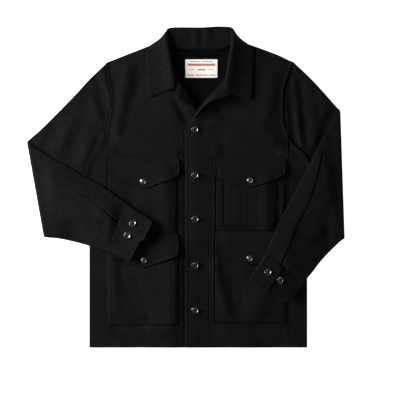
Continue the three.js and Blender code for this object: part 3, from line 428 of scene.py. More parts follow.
def satin(name, colour):
    """Woven polyester satin: smooth, with threads 0.9 mm apart across it and a soft, uneven gloss."""
    made, tree, shader = material(name, colour, 0.5, Sheen_Weight=0.2)
    place = add(tree, "ShaderNodeTexCoord")
    weft = add(tree, "ShaderNodeTexWave", {"Vector": place.outputs["Object"]}, bands_direction="Y",
               Scale=1000 / 0.9 / WAVE_BANDS, Distortion=0.4)
    lint = add(tree, "ShaderNodeTexNoise", {"Vector": place.outputs["Object"]}, Scale=1000 / 7)
    fade = add(tree, "ShaderNodeMapRange", {"Value": lint.outputs["Fac"]}, To_Min=0.42, To_Max=0.62)
    bump = add(tree, "ShaderNodeBump", {"Height": weft.outputs["Fac"]}, Strength=0.35, Distance=0.0001)
    tree.links.new(fade.outputs[0], shader.inputs["Roughness"])
    tree.links.new(bump.outputs[0], shader.inputs["Normal"])
    return made


SATIN_CREAM = satin("polyester_satin_cream", "f3eee6")
SATIN_RED = satin("polyester_satin_red", "b4716b")
print(len(bpy.data.materials), "materials in the file")

# %% [markdown]
# ## Height of the fronts
# Everything on the body lies on the two fronts, so one function gives their height at any place:
# flat on the body, raised along the open neck, stepped where the left front laps over the right,
# and let down on the back at the shoulders. Pockets, flaps and arms are laid on what it returns.

# %% Soft folds and the height of the fronts
# Rows: from x, y, to x, y, width, height
FRONT_FOLDS = [
    # the chest swells, with a fold beside each armhole and one over each flap
    (-90, 690, -84, 650, 40, 1.4), (120, 620, 130, 570, 50, 1.6),
    (-182, 712, -191, 656, 21, 3.6), (-197, 626, -212, 560, 15, 2.8), (-150, 712, -166, 668, 23, -2.2),
    (-176, 640, -190, 606, 19, -1.2),
    (-206, 540, -141, 531, 13, 2.4), (-118, 526, -60, 508, 14, 2.4), (-200, 508, -70, 486, 13, -2.4),
    (84, 545, 190, 536, 16, 2.2), (70, 512, 200, 506, 12, -2.2), (190, 700, 178, 610, 22, 3.2),
    (146, 600, 132, 560, 20, -1.4), (70, 600, 118, 648, 24, -1.8), (140, 590, 212, 532, 20, 2.4),
    # the pockets bow up towards the placket, and the hem ripples
    (-84, 450, -78, 320, 26, 2.6), (-170, 420, -190, 330, 24, -1.6), (176, 440, 178, 320, 17, 2.4),
    (-66, 244, -70, 70, 38, 4.6), (-186, 200, -142, 76, 24, -2.6), (-222, 240, -215, 100, 15, 1.8),
    (42, 214, 72, 100, 15, 2.8), (92, 210, 104, 110, 20, -2.2), (186, 200, 150, 90, 26, 2.6),
    (-214, 44, -150, 8, 14, -2.2), (-120, 44, -66, 10, 18, 2.6), (70, 40, 140, 6, 16, 2.4),
    (150, 46, 214, 12, 15, -2.0), (-16, 30, -12, 560, 26, 1.2), (74, 284, 190, 276, 13, 1.8)]

FOLD_DEPTH = 2.0  # the folds stand this many times their rows' height, so that the light finds them
NAPE_HALF, NAPE_FADE = 126, 74  # half the width that is lifted in full, and over which it fades
NAPE_START, NAPE_RISE = 690.5, 46.1  # y where the lift starts, and how far on it is full
# The button band, where the left front laps over the right: height, x where it starts and is full,
# y where it begins to fade and is gone
BAND = {"right": (-1.6, -72, -38, 600, 650), "left": (1.4, 76, 24, 590, 640)}
EDGE_FADE = 110  # the open neck's edge lifts the front this far in
SHOULDER_FADE = 34  # a front comes down to the back over this length below the shoulder
print(len(FRONT_FOLDS), "soft folds on the fronts")


def back_lift(x, y):
    """The back rises at the nape, where the collar's leaf lies beneath it."""
    across = 1 - np.clip((abs(x - NECK_X) - NAPE_HALF) / NAPE_FADE, 0, 1)
    return (COLLAR_WALL + 2 * GAP) * across * np.clip((y - NAPE_START) / NAPE_RISE, 0, 1)


def back_z(x, y):
    """Height of the middle of the back's cloth."""
    return BACK_Z + back_lift(x, y)


def shoulder_y(x):
    """Height of the shoulder line on the drawing, from each armhole's tip to the neck point."""
    right, left = ARMHOLES["right"][0], ARMHOLES["left"][0]
    to_right = np.clip((x - right[0]) / (NECK_POINT["right"] - right[0]), 0, 1)
    to_left = np.clip((x - left[0]) / (NECK_POINT["left"] - left[0]), 0, 1)
    part, tip = np.where(x < NECK_X, to_right, to_left), np.where(x < NECK_X, right[1], left[1])
    return tip + (NECK_POINT["y"] - tip) * part


def front_z(side, x, y):
    """Height of the middle of a front: flat, folded, lapped, and sewn down at the shoulder."""
    away, place = nearest(FRONT_EDGES[side], x, y)
    rise = np.interp(place, np.arange(len(FRONT_EDGES[side])), FRONT_EDGES[side][:, 2])
    height, from_x, to_x, from_y, to_y = BAND[side]
    lap = height * ease(x, from_x, to_x) * (1 - ease(y, from_y, to_y))
    flat = FRONT_Z + FOLD_DEPTH * folds_at(FRONT_FOLDS, x, y) + lap + rise * (1 - ease(away, 0, EDGE_FADE))
    seam = back_z(x, y) + WOOL + GAP
    below = ease(shoulder_y(x) - y, 0, SHOULDER_FADE)
    return seam + (np.maximum(flat, seam) - seam) * below


# %% [markdown]
# ## The two fronts
# Each front is cut to its side seam, armhole, shoulder and neck. A straight row of points runs from
# its outer edge to its inner edge at each height. Columns crowd together beside the armhole's
# topstitching and along the button band, so the stitches can pull real grooves into the cloth.

# %% Outlines of the pockets and flaps, which are pressed into the fronts
# Rows: left, right, top, bottom
POCKETS = {
    "pocket_chest_right": (-235, -57, 472, 298),
    "pocket_chest_left": (47, 224.5, 472, 305),
    "pocket_lower_right": (-236, -54.5, 276, 59.5),
    "pocket_lower_left": (45, 226, 280, 64.5),
}
PENCIL = (67.5, 200.5, 450, 316)
PENCIL_LINES = (86.0, 110.6, 128.0, 153.0, 184.0)
# Rows: left, right, top, depth at the ends, depth at the point, x of the point
FLAPS = {
    "flap_chest_right": (-233, -50, 492, 47, 82, -143),
    "flap_chest_left": (42, 225, 493, 47, 80, 134),
    "flap_lower_right": (-234, -52, 295, 57, 89, -141),
    "flap_lower_left": (46, 226, 301, 60, 90, 134),
}
FLAP_STITCH = 7.0
FLAP_ROUND = 13.0  # radius of a flap's lower corners
FLAP_BLUNT, BLUNT_WIDTH = 2.2, 7  # how much its point is blunted, and over what width


def past(distance):
    """1 up to an edge, and 0 well past it."""
    return 1 - ease(distance, 8, 19)


def flap_drop(row, x):
    """How far a flap hangs down at x."""
    left, right, top, ends, depth, point = row
    away = abs(x - point) / np.where(x < point, point - left, right - point)
    away = np.clip(away, 0, 1)
    from_end = np.minimum(x - left, right - x)
    from_arc = np.clip(FLAP_ROUND - from_end, 0, FLAP_ROUND)
    corner = FLAP_ROUND - np.sqrt(np.maximum(FLAP_ROUND ** 2 - from_arc ** 2, 0))
    blunt = FLAP_BLUNT * np.exp(-(abs(x - point) / BLUNT_WIDTH) ** 2)
    return depth + (ends - depth) * away - 0.8 * corner - blunt


# %% Cloth pressed in beside what is sewn on it
TRENCH, TRENCH_AT, TRENCH_WIDTH = 2.1, 1.3, 1.9  # depth, distance from the edge, width


def pressed(outside):
    """Depth of the trench beside an edge, from the distance outside it."""
    return -TRENCH * np.exp(-((outside - TRENCH_AT) / TRENCH_WIDTH) ** 2)


def pressed_front(x, y):
    """The trenches round the pockets and flaps."""
    depth = np.zeros(np.shape(x))
    for left, right, top, bottom in list(POCKETS.values()) + [
            (row[0], row[1], row[2], row[2] - row[3]) for row in FLAPS.values()]:
        outside = np.maximum(np.maximum(left - x, x - right), np.maximum(y - top, bottom - y))
        depth = np.minimum(depth, pressed(outside))
    return depth


# %% Stitch rows and creases of the fronts
BAND_STITCHES = (10.5, 61.4, 68)  # rows of stitches on the left front, in from its edge
ARM_STITCH = 10.5  # row of stitches beside the armhole
HEM_STITCH = 14
# Where points crowd together, in from each front's edge
FRONT_LINES = {"right": (10.5, 53, 75.5), "left": BAND_STITCHES + (77.5,)}
GROOVE = 0.7  # how far a row of stitches pulls the cloth in
# Rows: from x, y, to x, y, width, height
FRONT_CREASES = {
    "right": [
        (-215, 560, -120, 545, 14, 0.7), (-190, 640, -140, 585, 16, -0.8), (-120, 600, -60, 560, 18, 0.6),
        (-222, 300, -150, 292, 9, -0.5), (-60, 290, -42, 120, 12, -0.5), (-210, 40, -90, 48, 14, 0.5),
        (-56, 634, -30, 588, 10, -4.6), (-72, 600, -50, 570, 14, 1.2), (-30, 500, -45, 380, 12, 0.5),
        (-226, 470, -228, 60, 9, 0.8), (-110, 730, -150, 640, 22, 0.8)],
    "left": [
        (104, 642, 54, 617, 15, -4.4), (54, 617, 16, 588, 12, -4.2), (205, 600, 150, 570, 15, 0.8),
        (120, 640, 60, 600, 18, -0.9), (210, 520, 120, 512, 12, 0.5),
        (20, 500, 30, 60, 10, -0.6), (-5, 560, -8, 20, 11, 0.5), (215, 290, 140, 300, 9, -0.5),
        (60, 30, 190, 44, 14, 0.5), (221, 470, 218, 60, 9, 0.8), (150, 735, 180, 650, 22, 0.9)],
}


def groove(distance, depth=GROOVE, width=1.5):
    """Depth of the groove along a row of stitches, from the distance to it."""
    return -depth * np.exp(-(distance / width) ** 2)


# %% Front panels
FRONT_REACH = 265.0  # width for which the columns are spaced, before each row takes its own
SEAM_SIDE, BAND_SIDE = 24, 84  # the parts of it that keep their spacing in every row
NARROW = 160  # rows narrower than this are spaced evenly smaller instead
LEFT_EDGE = -35.5  # x of the pressed line that the left front's edge leaves on the right front


def front(side):
    """One front panel: rows from the side seam or armhole to the front's edge."""
    hole, edge, sign = ARMHOLES[side], FRONT_EDGES[side], SIGN[side]
    starts = []
    for i, row in enumerate(edge):
        if i < SEAM_ROWS:
            part = np.clip((row[1] - WAIST_Y) / (hole[SEAM_TOP, 1] - WAIST_Y), 0, 1)
            starts.append((SEAM_FOOT[side] + (hole[SEAM_TOP, 0] - SEAM_FOOT[side]) * part, row[1]))
        else:
            starts.append(tuple(hole[SEAM_TOP - (i - SEAM_ROWS), :2]))
    starts = np.array(starts)
    knots = run((starts + edge[:, :2]) / 2)
    rows = ticks(knots[-1], (14, 58, 63, 278, 296, 300, 493), coarse=3.6, reach=5.0)
    start = spline(starts, knots, rows)
    stop = spline(edge[:, :2], knots, rows)
    start[:, 0] += sign * LAP * ease(rows, 0, 8)
    reach = FRONT_REACH
    lines = tuple(reach - at for at in FRONT_LINES[side])
    places = ticks(reach, (3, ARM_STITCH) + lines, coarse=3.8, reach=5.0)
    width = np.linalg.norm(stop - start, axis=1)[:, None]
    near, far = SEAM_SIDE, reach - BAND_SIDE
    stretched = near + (places - near) * (width - reach + far - near) / (far - near)
    across = np.where(places < near, places, np.where(places > far, places + width - reach, stretched))
    across = np.where(width < NARROW, places * width / reach, across)
    way = (stop - start) / width
    xy = start[:, None, :] + way[:, None, :] * across[..., None]
    x, y = xy[..., 0], xy[..., 1]
    z = front_z(side, x, y) + folds_at(FRONT_CREASES[side], x, y) + pressed_front(x, y)
    from_start, from_edge = across, width - across
    beyond_seam = ease(rows, knots[SEAM_ROWS] - 20, knots[SEAM_ROWS] + 10)[:, None]
    z += 1.7 * (1 - ease(from_start, 0.5, 5)) * beyond_seam
    z += 0.7 * (1 - ease(from_start, 0.5, 5)) * ease(rows, 2, 20)[:, None]
    beside_arm = 0.25 + 0.75 * ease(rows, knots[SEAM_ROWS] - 30, knots[SEAM_ROWS] + 10)[:, None]
    z += beside_arm * (groove(from_start - ARM_STITCH) + 0.35 * (1 - ease(from_start, 8, 12)))
    if side == "left":
        closed = 1 - ease(y, 545, 600)
        z += closed * sum(groove(from_edge - at) for at in BAND_STITCHES)
        z += 0.5 * closed * (1 - ease(from_edge, 58, 70))
        z += 0.8 * closed * (1 - ease(from_edge, 1, 5))
    else:
        # pressed down beside the edge of the left front, which laps over it
        z -= 1.8 * np.exp(-((x - LEFT_EDGE) / 2.6) ** 2) * (1 - ease(y, 545, 590))
    z += groove(y - HEM_STITCH, 0.4) * (y < 60)
    middle = np.dstack([x, y, z])
    if side == "left":
        middle = middle[:, ::-1]
    return cloth(f"cloth_front_{side}", middle, WOOL)


fronts = {side: front(side) for side in ("right", "left")}
for side, panel in fronts.items():
    dress(panel, f"front_{side}", WOOL_MELTON, (0.28, 0.80), 0.187, on=["cloth_back"])

# %% [markdown]
# ## The back
# One panel lies on the table and turns up and over at both sides, down to the side seams on the
# fronts. Its underside stays flat where it rests. The turned sides are half circles of cloth.

# %% Back panel
# Rows: from x, y, to x, y, width, height
INNER_CREASES = [(-30, 690, -10, 640, 16, 1.6), (40, 690, 20, 640, 12, 1.2), (-60, 740, 60, 736, 12, 0.4)]
INNER_HALF, INNER_TOP = 90, 6  # half the width of the inside that shows in the neck, and its height
BACK_ROWS = 110


def back_column(hem_x, top, height):
    """One column of points from the hem to a place on the top, at a height."""
    low_rows = [(hem_x, y) for y in (0, 90, 180, WAIST_Y)]
    high_rows = [(hem_x + (top[0] - hem_x) * p, WAIST_Y + (top[1] - WAIST_Y) * p)
                 for p in (0.27, 0.52, 0.7, 0.83, 0.92, 1)]
    xy = np.array(low_rows + high_rows, float)
    fine = spline(xy, run(xy), np.linspace(0, run(xy)[-1], BACK_ROWS))
    return np.column_stack([fine, height(fine[:, 0], fine[:, 1])])


def back_half(side):
    """Columns from the side seam round the turned side to the shoulder's tip."""
    hole, inward = ARMHOLES[side], -SIGN[side]
    flat_edge = EDGE[side] + inward * (SIDE_FOLD + WOOL / 2)
    pit, above = hole[ARMPIT], hole[ARMPIT - 1]
    columns = []
    for k in np.linspace(SEAM_TOP, ARMPIT, 14)[:-1]:
        part = (k - SEAM_TOP) / (ARMPIT - SEAM_TOP)
        hem_x = SEAM_FOOT[side] + (flat_edge - SEAM_FOOT[side]) * part
        top = spline(hole[:, :2], np.arange(11), [k])[0]
        dip = 0.5 * (1 - float(ease(part, 0, 0.12)))
        columns.append(back_column(
            hem_x, top, lambda x, y: FRONT_Z - dip + 2.2 * ease(y, top[1] - 14, top[1] - 2)))
    for angle in np.radians(np.linspace(90, -90, 9)):
        inset = inward * (SIDE_FOLD + WOOL / 2 - SIDE_FOLD * math.cos(angle))
        x = pit[0] + inset
        y = above[1] + (pit[1] - above[1]) * (x - above[0]) / (pit[0] - above[0])
        z = BACK_Z + SIDE_FOLD * (1 + math.sin(angle))
        columns.append(back_column(EDGE[side] + inset, (x, y), lambda x, y: np.full_like(x, z)))
    for k in np.linspace(ARMPIT - 1, 0, 26):
        hem_x = flat_edge + (-inward * SHOULDER_HEM - flat_edge) * (ARMPIT - k) / ARMPIT
        top = spline(hole[:, 2:], np.arange(11), [k])[0]
        columns.append(back_column(hem_x, top, back_z))
    return columns


def back():
    """The back, wrapped round both sides to the side seams."""
    knots = run(BACK_TOP[:, :2])
    tops = spline(BACK_TOP, knots, np.linspace(0, knots[-1], 70))
    middle = [back_column(hem_x, (x, y), back_z) for x, y, hem_x in tops]
    columns = back_half("right") + middle + back_half("left")[::-1]
    grid = np.stack(columns, axis=1)
    x, y, z = grid[..., 0], grid[..., 1], grid[..., 2]
    shown = (abs(x - NECK_X) < INNER_HALF) * ease(y, 590, 640) * (z < INNER_TOP)
    grid[..., 2] += folds_at(INNER_CREASES, x, y) * shown
    return cloth("cloth_back", grid, WOOL)


back_panel = back()

# %% [markdown]
# ## Patch pockets and flaps
# A patch pocket is a rectangle with its edges turned under and stitched down twice, so it bulges a
# little between the stitches. A flap hangs from its top seam to a blunt point and is two layers
# thick. Both are grids laid on the front's height, so they follow every fold beneath them.

# %% Pockets
POCKET_ABOVE = WOOL / 2 + LAY
PENCIL_ABOVE = POCKET_ABOVE + WOOL + LAY
POCKET_STITCHES = (3.6, 12.5)
POCKET_CREASES = [
    (-200, 330, -110, 318, 16, 0.6), (-90, 440, -80, 330, 14, 0.5), (-190, 210, -120, 150, 18, 0.7),
    (-80, 230, -90, 110, 14, -0.5), (-170, 90, -100, 100, 14, 0.5), (90, 200, 110, 110, 18, 0.7),
    (200, 210, 190, 100, 15, -0.5), (80, 90, 150, 84, 12, 0.5), (60, 430, 62, 330, 8, 0.3)]


def pocket(name, left, right, top, bottom, above, lines=()):
    side = "right" if left < 0 else "left"
    width, height = right - left, top - bottom
    near_x = [s for at in POCKET_STITCHES for s in (at, width - at)] + [x - left for x in lines]
    xs = left + ticks(width, near_x, coarse=2.9, reach=5.0)
    ys = bottom + ticks(height, POCKET_STITCHES, coarse=2.3, reach=5.0)
    x, y = np.meshgrid(xs, ys)
    x = x + 1.2 * np.sin((y - bottom) / height * 5 + left) * ((x - left) / width - 0.5)
    inside = np.minimum(np.minimum(x - left, right - x), y - bottom)
    z = front_z(side, x, y) + folds_at(FRONT_CREASES[side], x, y) + folds_at(POCKET_CREASES, x, y)
    z += above + WOOL / 2 - 0.35 * (1 - ease(inside, 1, 9)) + 0.7 * ease(inside, 12, 45) * ease(top - y, 0, 60)
    for at in POCKET_STITCHES[:1] if lines else POCKET_STITCHES:
        z += groove(inside - at)
    for at in lines:
        z += groove(x - at, 0.75)
    for row in FLAPS.values():
        over = (x > row[0] - 4) & (x < row[1] + 4)
        below = row[2] - flap_drop(row, np.clip(x, row[0], row[1])) - y
        z += np.where(over & (below < 20), 1.9 * pressed(below), 0)
    if not lines:
        from_pencil = np.maximum(np.maximum(PENCIL[0] - x, x - PENCIL[1]), PENCIL[3] - y)
        z += pressed(from_pencil) * (name == "pocket_chest_left")
    return cloth(f"cloth_{name}", np.dstack([x, y, z]), WOOL)


pockets = {name: pocket(name, *row, POCKET_ABOVE) for name, row in POCKETS.items()}
pencil = pocket("pocket_pencil_left", *PENCIL, PENCIL_ABOVE, PENCIL_LINES)
for name, panel in pockets.items():
    left, right, top, bottom = POCKETS[name]
    size = ((right - left) / 1000, (top - bottom) / 1000)
    dress(panel, name, WOOL_MELTON, size, on=["cloth_front_" + name.split("_")[2]])
dress(pencil, "pocket_pencil_left", WOOL_MELTON, (0.133, 0.134), on=["cloth_pocket_chest_left"])

# %% Flaps
# What a flap is cut from, in metres, and its flat area in square metres
FLAP_CUTS = {"chest": ((0.187, 0.084), 0.0126), "lower": ((0.186, 0.092), 0.0143)}


def flap_above(name, x, y):
    """How far a flap's underside lies over the front: it also lies on its pockets."""
    left, right, top, bottom = PENCIL
    on_pencil = past(left - x) * past(x - right) * past(y - top) if name == "flap_chest_left" else 0
    pocket_top = POCKETS[name.replace("flap", "pocket")][2]
    return WOOL / 2 + LAY + (past(y - pocket_top) + on_pencil) * (WOOL + LAY)


def flap(name):
    """A flap with a blunt point and rounded corners, lying on its pocket."""
    left, right, top, ends, depth, point = row = FLAPS[name]
    side = "right" if left < 0 else "left"
    xs = left + ticks(right - left, (FLAP_STITCH, right - left - FLAP_STITCH), coarse=4.0)
    ups = ticks(depth, (3, FLAP_STITCH + 3, depth - FLAP_STITCH), coarse=3.4)
    x, down = np.meshgrid(xs, (depth - ups) / depth)
    swell = 2.5 * np.sin(math.pi * np.minimum(down, 0.8)) * (2 * (x - left) / (right - left) - 1)
    drop = flap_drop(row, x)
    y = top - drop * down
    x = x + swell
    below, beside_end = drop * (1 - down), np.minimum(x - left, right - x) + 2.5
    rim = np.minimum(below * 0.97, beside_end)
    z = front_z(side, x, y) + folds_at(FRONT_CREASES[side], x, y) + flap_above(name, x, y) + FLAP_WALL / 2
    z += groove(rim - FLAP_STITCH, 0.5) - 1.3 * (1 - ease(top - y, 0, 8)) + groove(top - y - 9, 0.4)
    z += 0.9 * ease(rim, 9, 30) * ease(top - y, 10, 30)
    lift = 2.2 * (1 - ease(rim, 0, 16)) * ease(abs(x - point), 12, 60) * ease(down, 0.4, 0.9)
    return cloth(f"cloth_{name}", np.dstack([x, y, z + lift]), FLAP_WALL)


flaps = {name: flap(name) for name in FLAPS}
for name, panel in flaps.items():
    size, area = FLAP_CUTS[name.split("_")[1]]
    dress(panel, name, WOOL_MELTON, size, area, on=["cloth_" + name.replace("flap", "pocket")])

# %% [markdown]
# ## Sleeves
# An arm is a flattened tube with two layers. It leaves the armhole's curve, lies flat to the elbow,
# turns over on itself in half a circle and comes back over the front. Cross-sections at measured
# places are worked out first, and a spline through them gives the fine rings between.

# %% Sections of the sleeves
# Rows: x, y on the silhouette's upper edge, x, y on its underarm edge
SLEEVES = {
    "right": {
        "upper": [(-278, 700, -312, 396), (-318, 657, -336, 368), (-370, 604, -364, 333),
                  (-412, 563, -388, 303)],
        "fold": (-445, 534, -401, 287),
        "forearm": [(-405, 507, -386, 285), (-374, 488, -370, 284), (-333, 466, -328, 276),
                    (-289, 439, -282, 264), (-240, 412, -255, 257), (-187, 375, -231, 250)],
        "cuff": [(-155, 353, -203, 237), (-122, 329, -176, 224)],
    },
    "left": {
        "upper": [(292, 697, 309, 407), (325, 662, 326, 380), (350, 634, 348, 341)],
        "fold": (369, 613, 380, 284),
        "forearm": [(337, 566, 367, 275), (314, 524, 358, 266), (283, 464, 340, 248), (253, 409, 317, 223),
                    (224, 352, 296, 196), (195, 293, 280, 177), (173, 242, 270, 164)],
        "cuff": [(155, 212, 253, 141), (136, 183, 236, 117)],
    },
}
# Folds of the upper arms: from x, y, to x, y, width, height
SLEEVE_FOLDS = {
    "right": [
        (-268, 701, -249, 656, 13, -2.6), (-249, 656, -237, 600, 11, -3.2), (-237, 600, -240, 565, 9, -2.2),
        (-272, 640, -262, 600, 9, 1.8), (-288, 650, -300, 591, 14, -1.2), (-306, 580, -328, 522, 17, -2.0),
        (-328, 575, -366, 500, 21, 3.6), (-345, 560, -352, 530, 12, 1.2), (-372, 580, -395, 520, 14, -1.6),
        (-282, 538, -307, 470, 18, 3.4), (-292, 520, -296, 480, 8, 1.0), (-400, 560, -420, 525, 16, 1.8),
        (-330, 650, -350, 610, 20, 1.2), (-262, 545, -276, 500, 7, -1.4)],
    "left": [
        (234, 712, 239, 640, 8, -2.2), (239, 640, 250, 534, 8, -4.0), (250, 534, 286, 482, 9, -3.5),
        (251, 680, 255, 622, 10, 1.8), (257, 604, 266, 528, 9, 3.0), (266, 690, 280, 515, 12, -2.4),
        (284, 670, 296, 606, 16, 1.6), (302, 580, 303, 535, 13, 2.2), (344, 606, 320, 536, 12, -3.2),
        (320, 536, 298, 500, 11, -3.0), (322, 650, 332, 610, 13, 1.6)],
}
# The hindarm seam on each forearm, from the elbow to the cuff
ARM_SEAMS = {
    "right": [(-440, 480), (-411, 458), (-371, 432), (-337, 417), (-285, 387), (-241, 353), (-211, 324),
              (-196, 310)],
    "left": [(320, 500), (304, 430), (293, 396), (281.5, 366), (266, 338), (252, 312), (240, 285), (230, 257),
             (219, 230), (208, 201), (200, 178)],
}
SEAM_STITCH = 7  # topstitching beside it
ROOF = {"right": 9.0, "left": 10.0}  # how high a forearm stands at its hindarm seam
SLEEVE_CUT = (0.66, 0.47)  # metres
SLEEVE_AREA = {"right": 0.178, "left": 0.167}
# Creases on the forearms, seen on their upper layer
ARM_CREASES = {
    "right": [(-330, 288, -240, 262, 8, -1.6), (-300, 306, -262, 330, 10, 0.9),
              (-410, 400, -330, 392, 16, 0.9), (-400, 340, -300, 330, 18, 0.8),
              (-300, 410, -230, 372, 11, 0.8), (-425, 500, -395, 440, 12, -0.9), (-262, 300, -250, 360, 12, 0.8),
              (-380, 300, -360, 350, 12, -0.8)],
    "left": [(340, 480, 322, 380, 16, 1.0), (352, 380, 330, 290, 14, -0.9), (300, 470, 270, 400, 14, 0.9),
             (310, 300, 262, 262, 12, 1.1), (346, 560, 340, 500, 12, -0.9), (240, 340, 262, 300, 11, -0.8),
             (286, 236, 248, 222, 10, 0.9), (362, 330, 352, 270, 9, 0.8)],
}


# %% What a forearm lies on


def section_ends(row, wall):
    """Ends of a section, set in from the silhouette by the tube's own side, and the way across."""
    edge, under = np.array([row[0], row[1], 0.0]), np.array([row[2], row[3], 0.0])
    way = unit(under - edge)
    inset = TUBE / 2 + wall / 2
    return edge + way * inset, under - way * inset, way


def top_at(side, x, y):
    """Top of what lies beneath a forearm: table, upper arm, front, pocket or flap."""
    pit, fold = ARMHOLES[side][ARMPIT], SLEEVES[side]["fold"]
    edge = abs(EDGE[side] + (pit[0] - EDGE[side]) * ease(y, WAIST_Y, pit[1]))
    base = front_z(side, x, y)
    top = np.where(abs(x) < edge, base + WOOL / 2, 0)
    under = pit[1] + (fold[3] - pit[1]) * (x - pit[0]) / (fold[2] - pit[0])
    on_arm = (abs(x) > edge - ARM_MARGIN) & (y > under - ARM_MARGIN)
    top = np.where(on_arm, np.maximum(top, FRONT_Z + WOOL / 2), top)
    for left, right, high_y, low_y in POCKETS.values():
        inside = (x > left) & (x < right) & (y > low_y) & (y < high_y)
        top = np.where(inside, base + POCKET_ABOVE + WOOL, top)
    for name, row in FLAPS.items():
        inside = (x > row[0]) & (x < row[1]) & (y < row[2]) & (y > row[2] - flap_drop(row, x))
        height = base + flap_above(name, x, y) + FLAP_WALL
        top = np.where(inside, np.maximum(top, height), top)
    return top


def drape(side, x, y, reach=26.0):
    """A forearm hangs over what lies beneath: the highest top near it, smoothed."""
    turns = np.arange(1, 9) / 8 * 2 * math.pi

    def highest(cx, cy):
        near = [top_at(side, cx + reach * math.cos(t), cy + reach * math.sin(t)) for t in turns]
        return np.maximum.reduce([top_at(side, cx, cy)] + near)

    soft = reach * 0.6
    around = [highest(x + soft * math.cos(t), y + soft * math.sin(t)) for t in turns]
    return (highest(x, y) + sum(around)) / 9


# %% Sleeve layers from the armhole to the cuff
TUCK = 2.5  # how far the sleeve runs in under the front's edge
ELBOW_STEPS = np.radians(np.arange(0, 181, 15))  # round the turn at the elbow
HALF_TURN = np.radians((30, 60, 90, 120, 150))  # round one side of a tube


def seam_layer(side, first, z):
    """A sleeve's first row, under the armhole's curve."""
    line = np.column_stack([ARMHOLES[side][:, first:first + 2], np.full(len(ARMHOLES[side]), z)])
    along = unit(np.gradient(line, axis=0))
    aside = np.column_stack([along[:, 1], -along[:, 0], np.zeros(len(line))])
    aside *= np.sign(aside[:, :1] * SIGN[side])
    inset = TUBE / 2 + WOOL / 2
    moved = line + aside * (-TUCK if first == 0 else 0.4)
    moved[0] += unit(line[1] - line[0]) * inset
    moved[-1] += unit(line[-2] - line[-1]) * inset
    return moved


def sleeve_layers(side):
    """Front and rear layers as arrays [section, part across, xyz], and the parts across."""
    cut, sign = SLEEVES[side], SIGN[side]
    length = run(ARMHOLES[side][:, :2])
    parts = length / length[-1]
    front_seam, rear_seam = seam_layer(side, 0, FRONT_Z), seam_layer(side, 2, BACK_Z)
    front_rows, rear_rows = [front_seam], [rear_seam]

    def curve(line):
        straight = line[:1] + (line[-1:] - line[:1]) * parts[:, None]
        return (line - straight) * [1, 1, 0]

    for i, row in enumerate(cut["upper"]):
        edge, under, way = section_ends(row, WOOL)
        keep = (1 - (i + 1) / (len(cut["upper"]) + 1)) ** 1.6
        for line, z, rows in ((front_seam, FRONT_Z, front_rows), (rear_seam, BACK_Z, rear_rows)):
            at = edge + (under - edge) * parts[:, None] + curve(line) * keep
            at[:, 2] = z
            rows.append(at)
    edge, under, way = section_ends(cut["fold"], WOOL)
    across = np.array([way[1], -way[0], 0])
    across *= np.sign(across[0] * sign)
    up = np.array([0, 0, 1.0])
    line = edge + (under - edge) * parts[:, None]
    reach = ELBOW_FOLD + TUBE / 2 + WOOL / 2
    middle_z = BACK_Z + TUBE / 2 + ELBOW_FOLD
    # the fold is slanted along the arm's own edges below and above it, so that its corners are sharp
    slants = []
    for row in (cut["upper"][-1], cut["forearm"][0]):
        edge, under, way = section_ends(row, WOOL)
        slant = unit((line - (edge + (under - edge) * parts[:, None])) * [1, 1, 0])
        slants.append(slant / np.maximum(slant @ across, 0.45)[:, None])
    for angle in ELBOW_STEPS:
        slant = slants[0] if angle < math.pi / 2 else slants[1]
        for rows, radius in ((front_rows, ELBOW_FOLD - TUBE / 2), (rear_rows, ELBOW_FOLD + TUBE / 2)):
            out = slant * (radius * math.sin(angle) - reach)
            rows.append(line + out + up * (middle_z - radius * math.cos(angle)))
    fold_under = BACK_Z + TUBE / 2 + 2 * ELBOW_FOLD - TUBE / 2
    for i, row in enumerate(cut["forearm"]):
        edge, under, way = section_ends(row, WOOL)
        at = edge + (under - edge) * parts[:, None]
        far = (i + 1) / len(cut["forearm"])
        last = (CUFF_WALL - WOOL) / 2 if i == len(cut["forearm"]) - 1 else 0
        held = fold_under * (1 - float(ease(far, 0, 0.75)))
        at[:, 2] = np.maximum(drape(side, at[:, 0], at[:, 1]) + ARM_CLEAR + WOOL / 2 + last, held)
        front_rows.append(at)
        rear_rows.append(at + up * TUBE)
    return np.array(front_rows), np.array(rear_rows), parts


def tube_ring(a, b):
    """One closed ring of a flattened tube: layer a, its far side, layer b, and its near side."""
    ring = [a]
    for end, before, order in ((-1, -2, 1), (0, 1, -1)):
        mid, half = (a[end] + b[end]) / 2, (a[end] - b[end]) / 2
        way = unit(a[end] - a[before]) * np.linalg.norm(half)
        arc = np.array([mid + half * math.cos(t) + way * math.sin(t) for t in HALF_TURN])
        ring += [arc, b[::-1]] if order == 1 else [arc[::-1]]
    return np.concatenate(ring)


def seam_part(side, edge, under):
    """Where the hindarm seam crosses a section, as a part of the way from edge to under."""
    parts = np.linspace(0.05, 0.95, 181)
    at = edge + (under - edge) * parts[:, None]
    away = nearest(ARM_SEAMS[side], at[:, 0], at[:, 1])[0]
    return parts[int(np.argmin(away))] if away.min() < 6 else 0.5


# %% Fine sleeves
SEAM_COLUMNS = (150, 157, 143)  # of 300 across a layer: the hindarm seam and its two sides
SMOOTHING = 9  # sections over which the seam's place is averaged


def puckers(reach, along):
    """Small ridges that run from a seam into the cloth, from the distance to it and along it."""
    return 0.6 * np.exp(-(reach / 12) ** 2) * (np.sin(along / 2.3) + 0.7 * np.sin(along / 3.7 + 2))


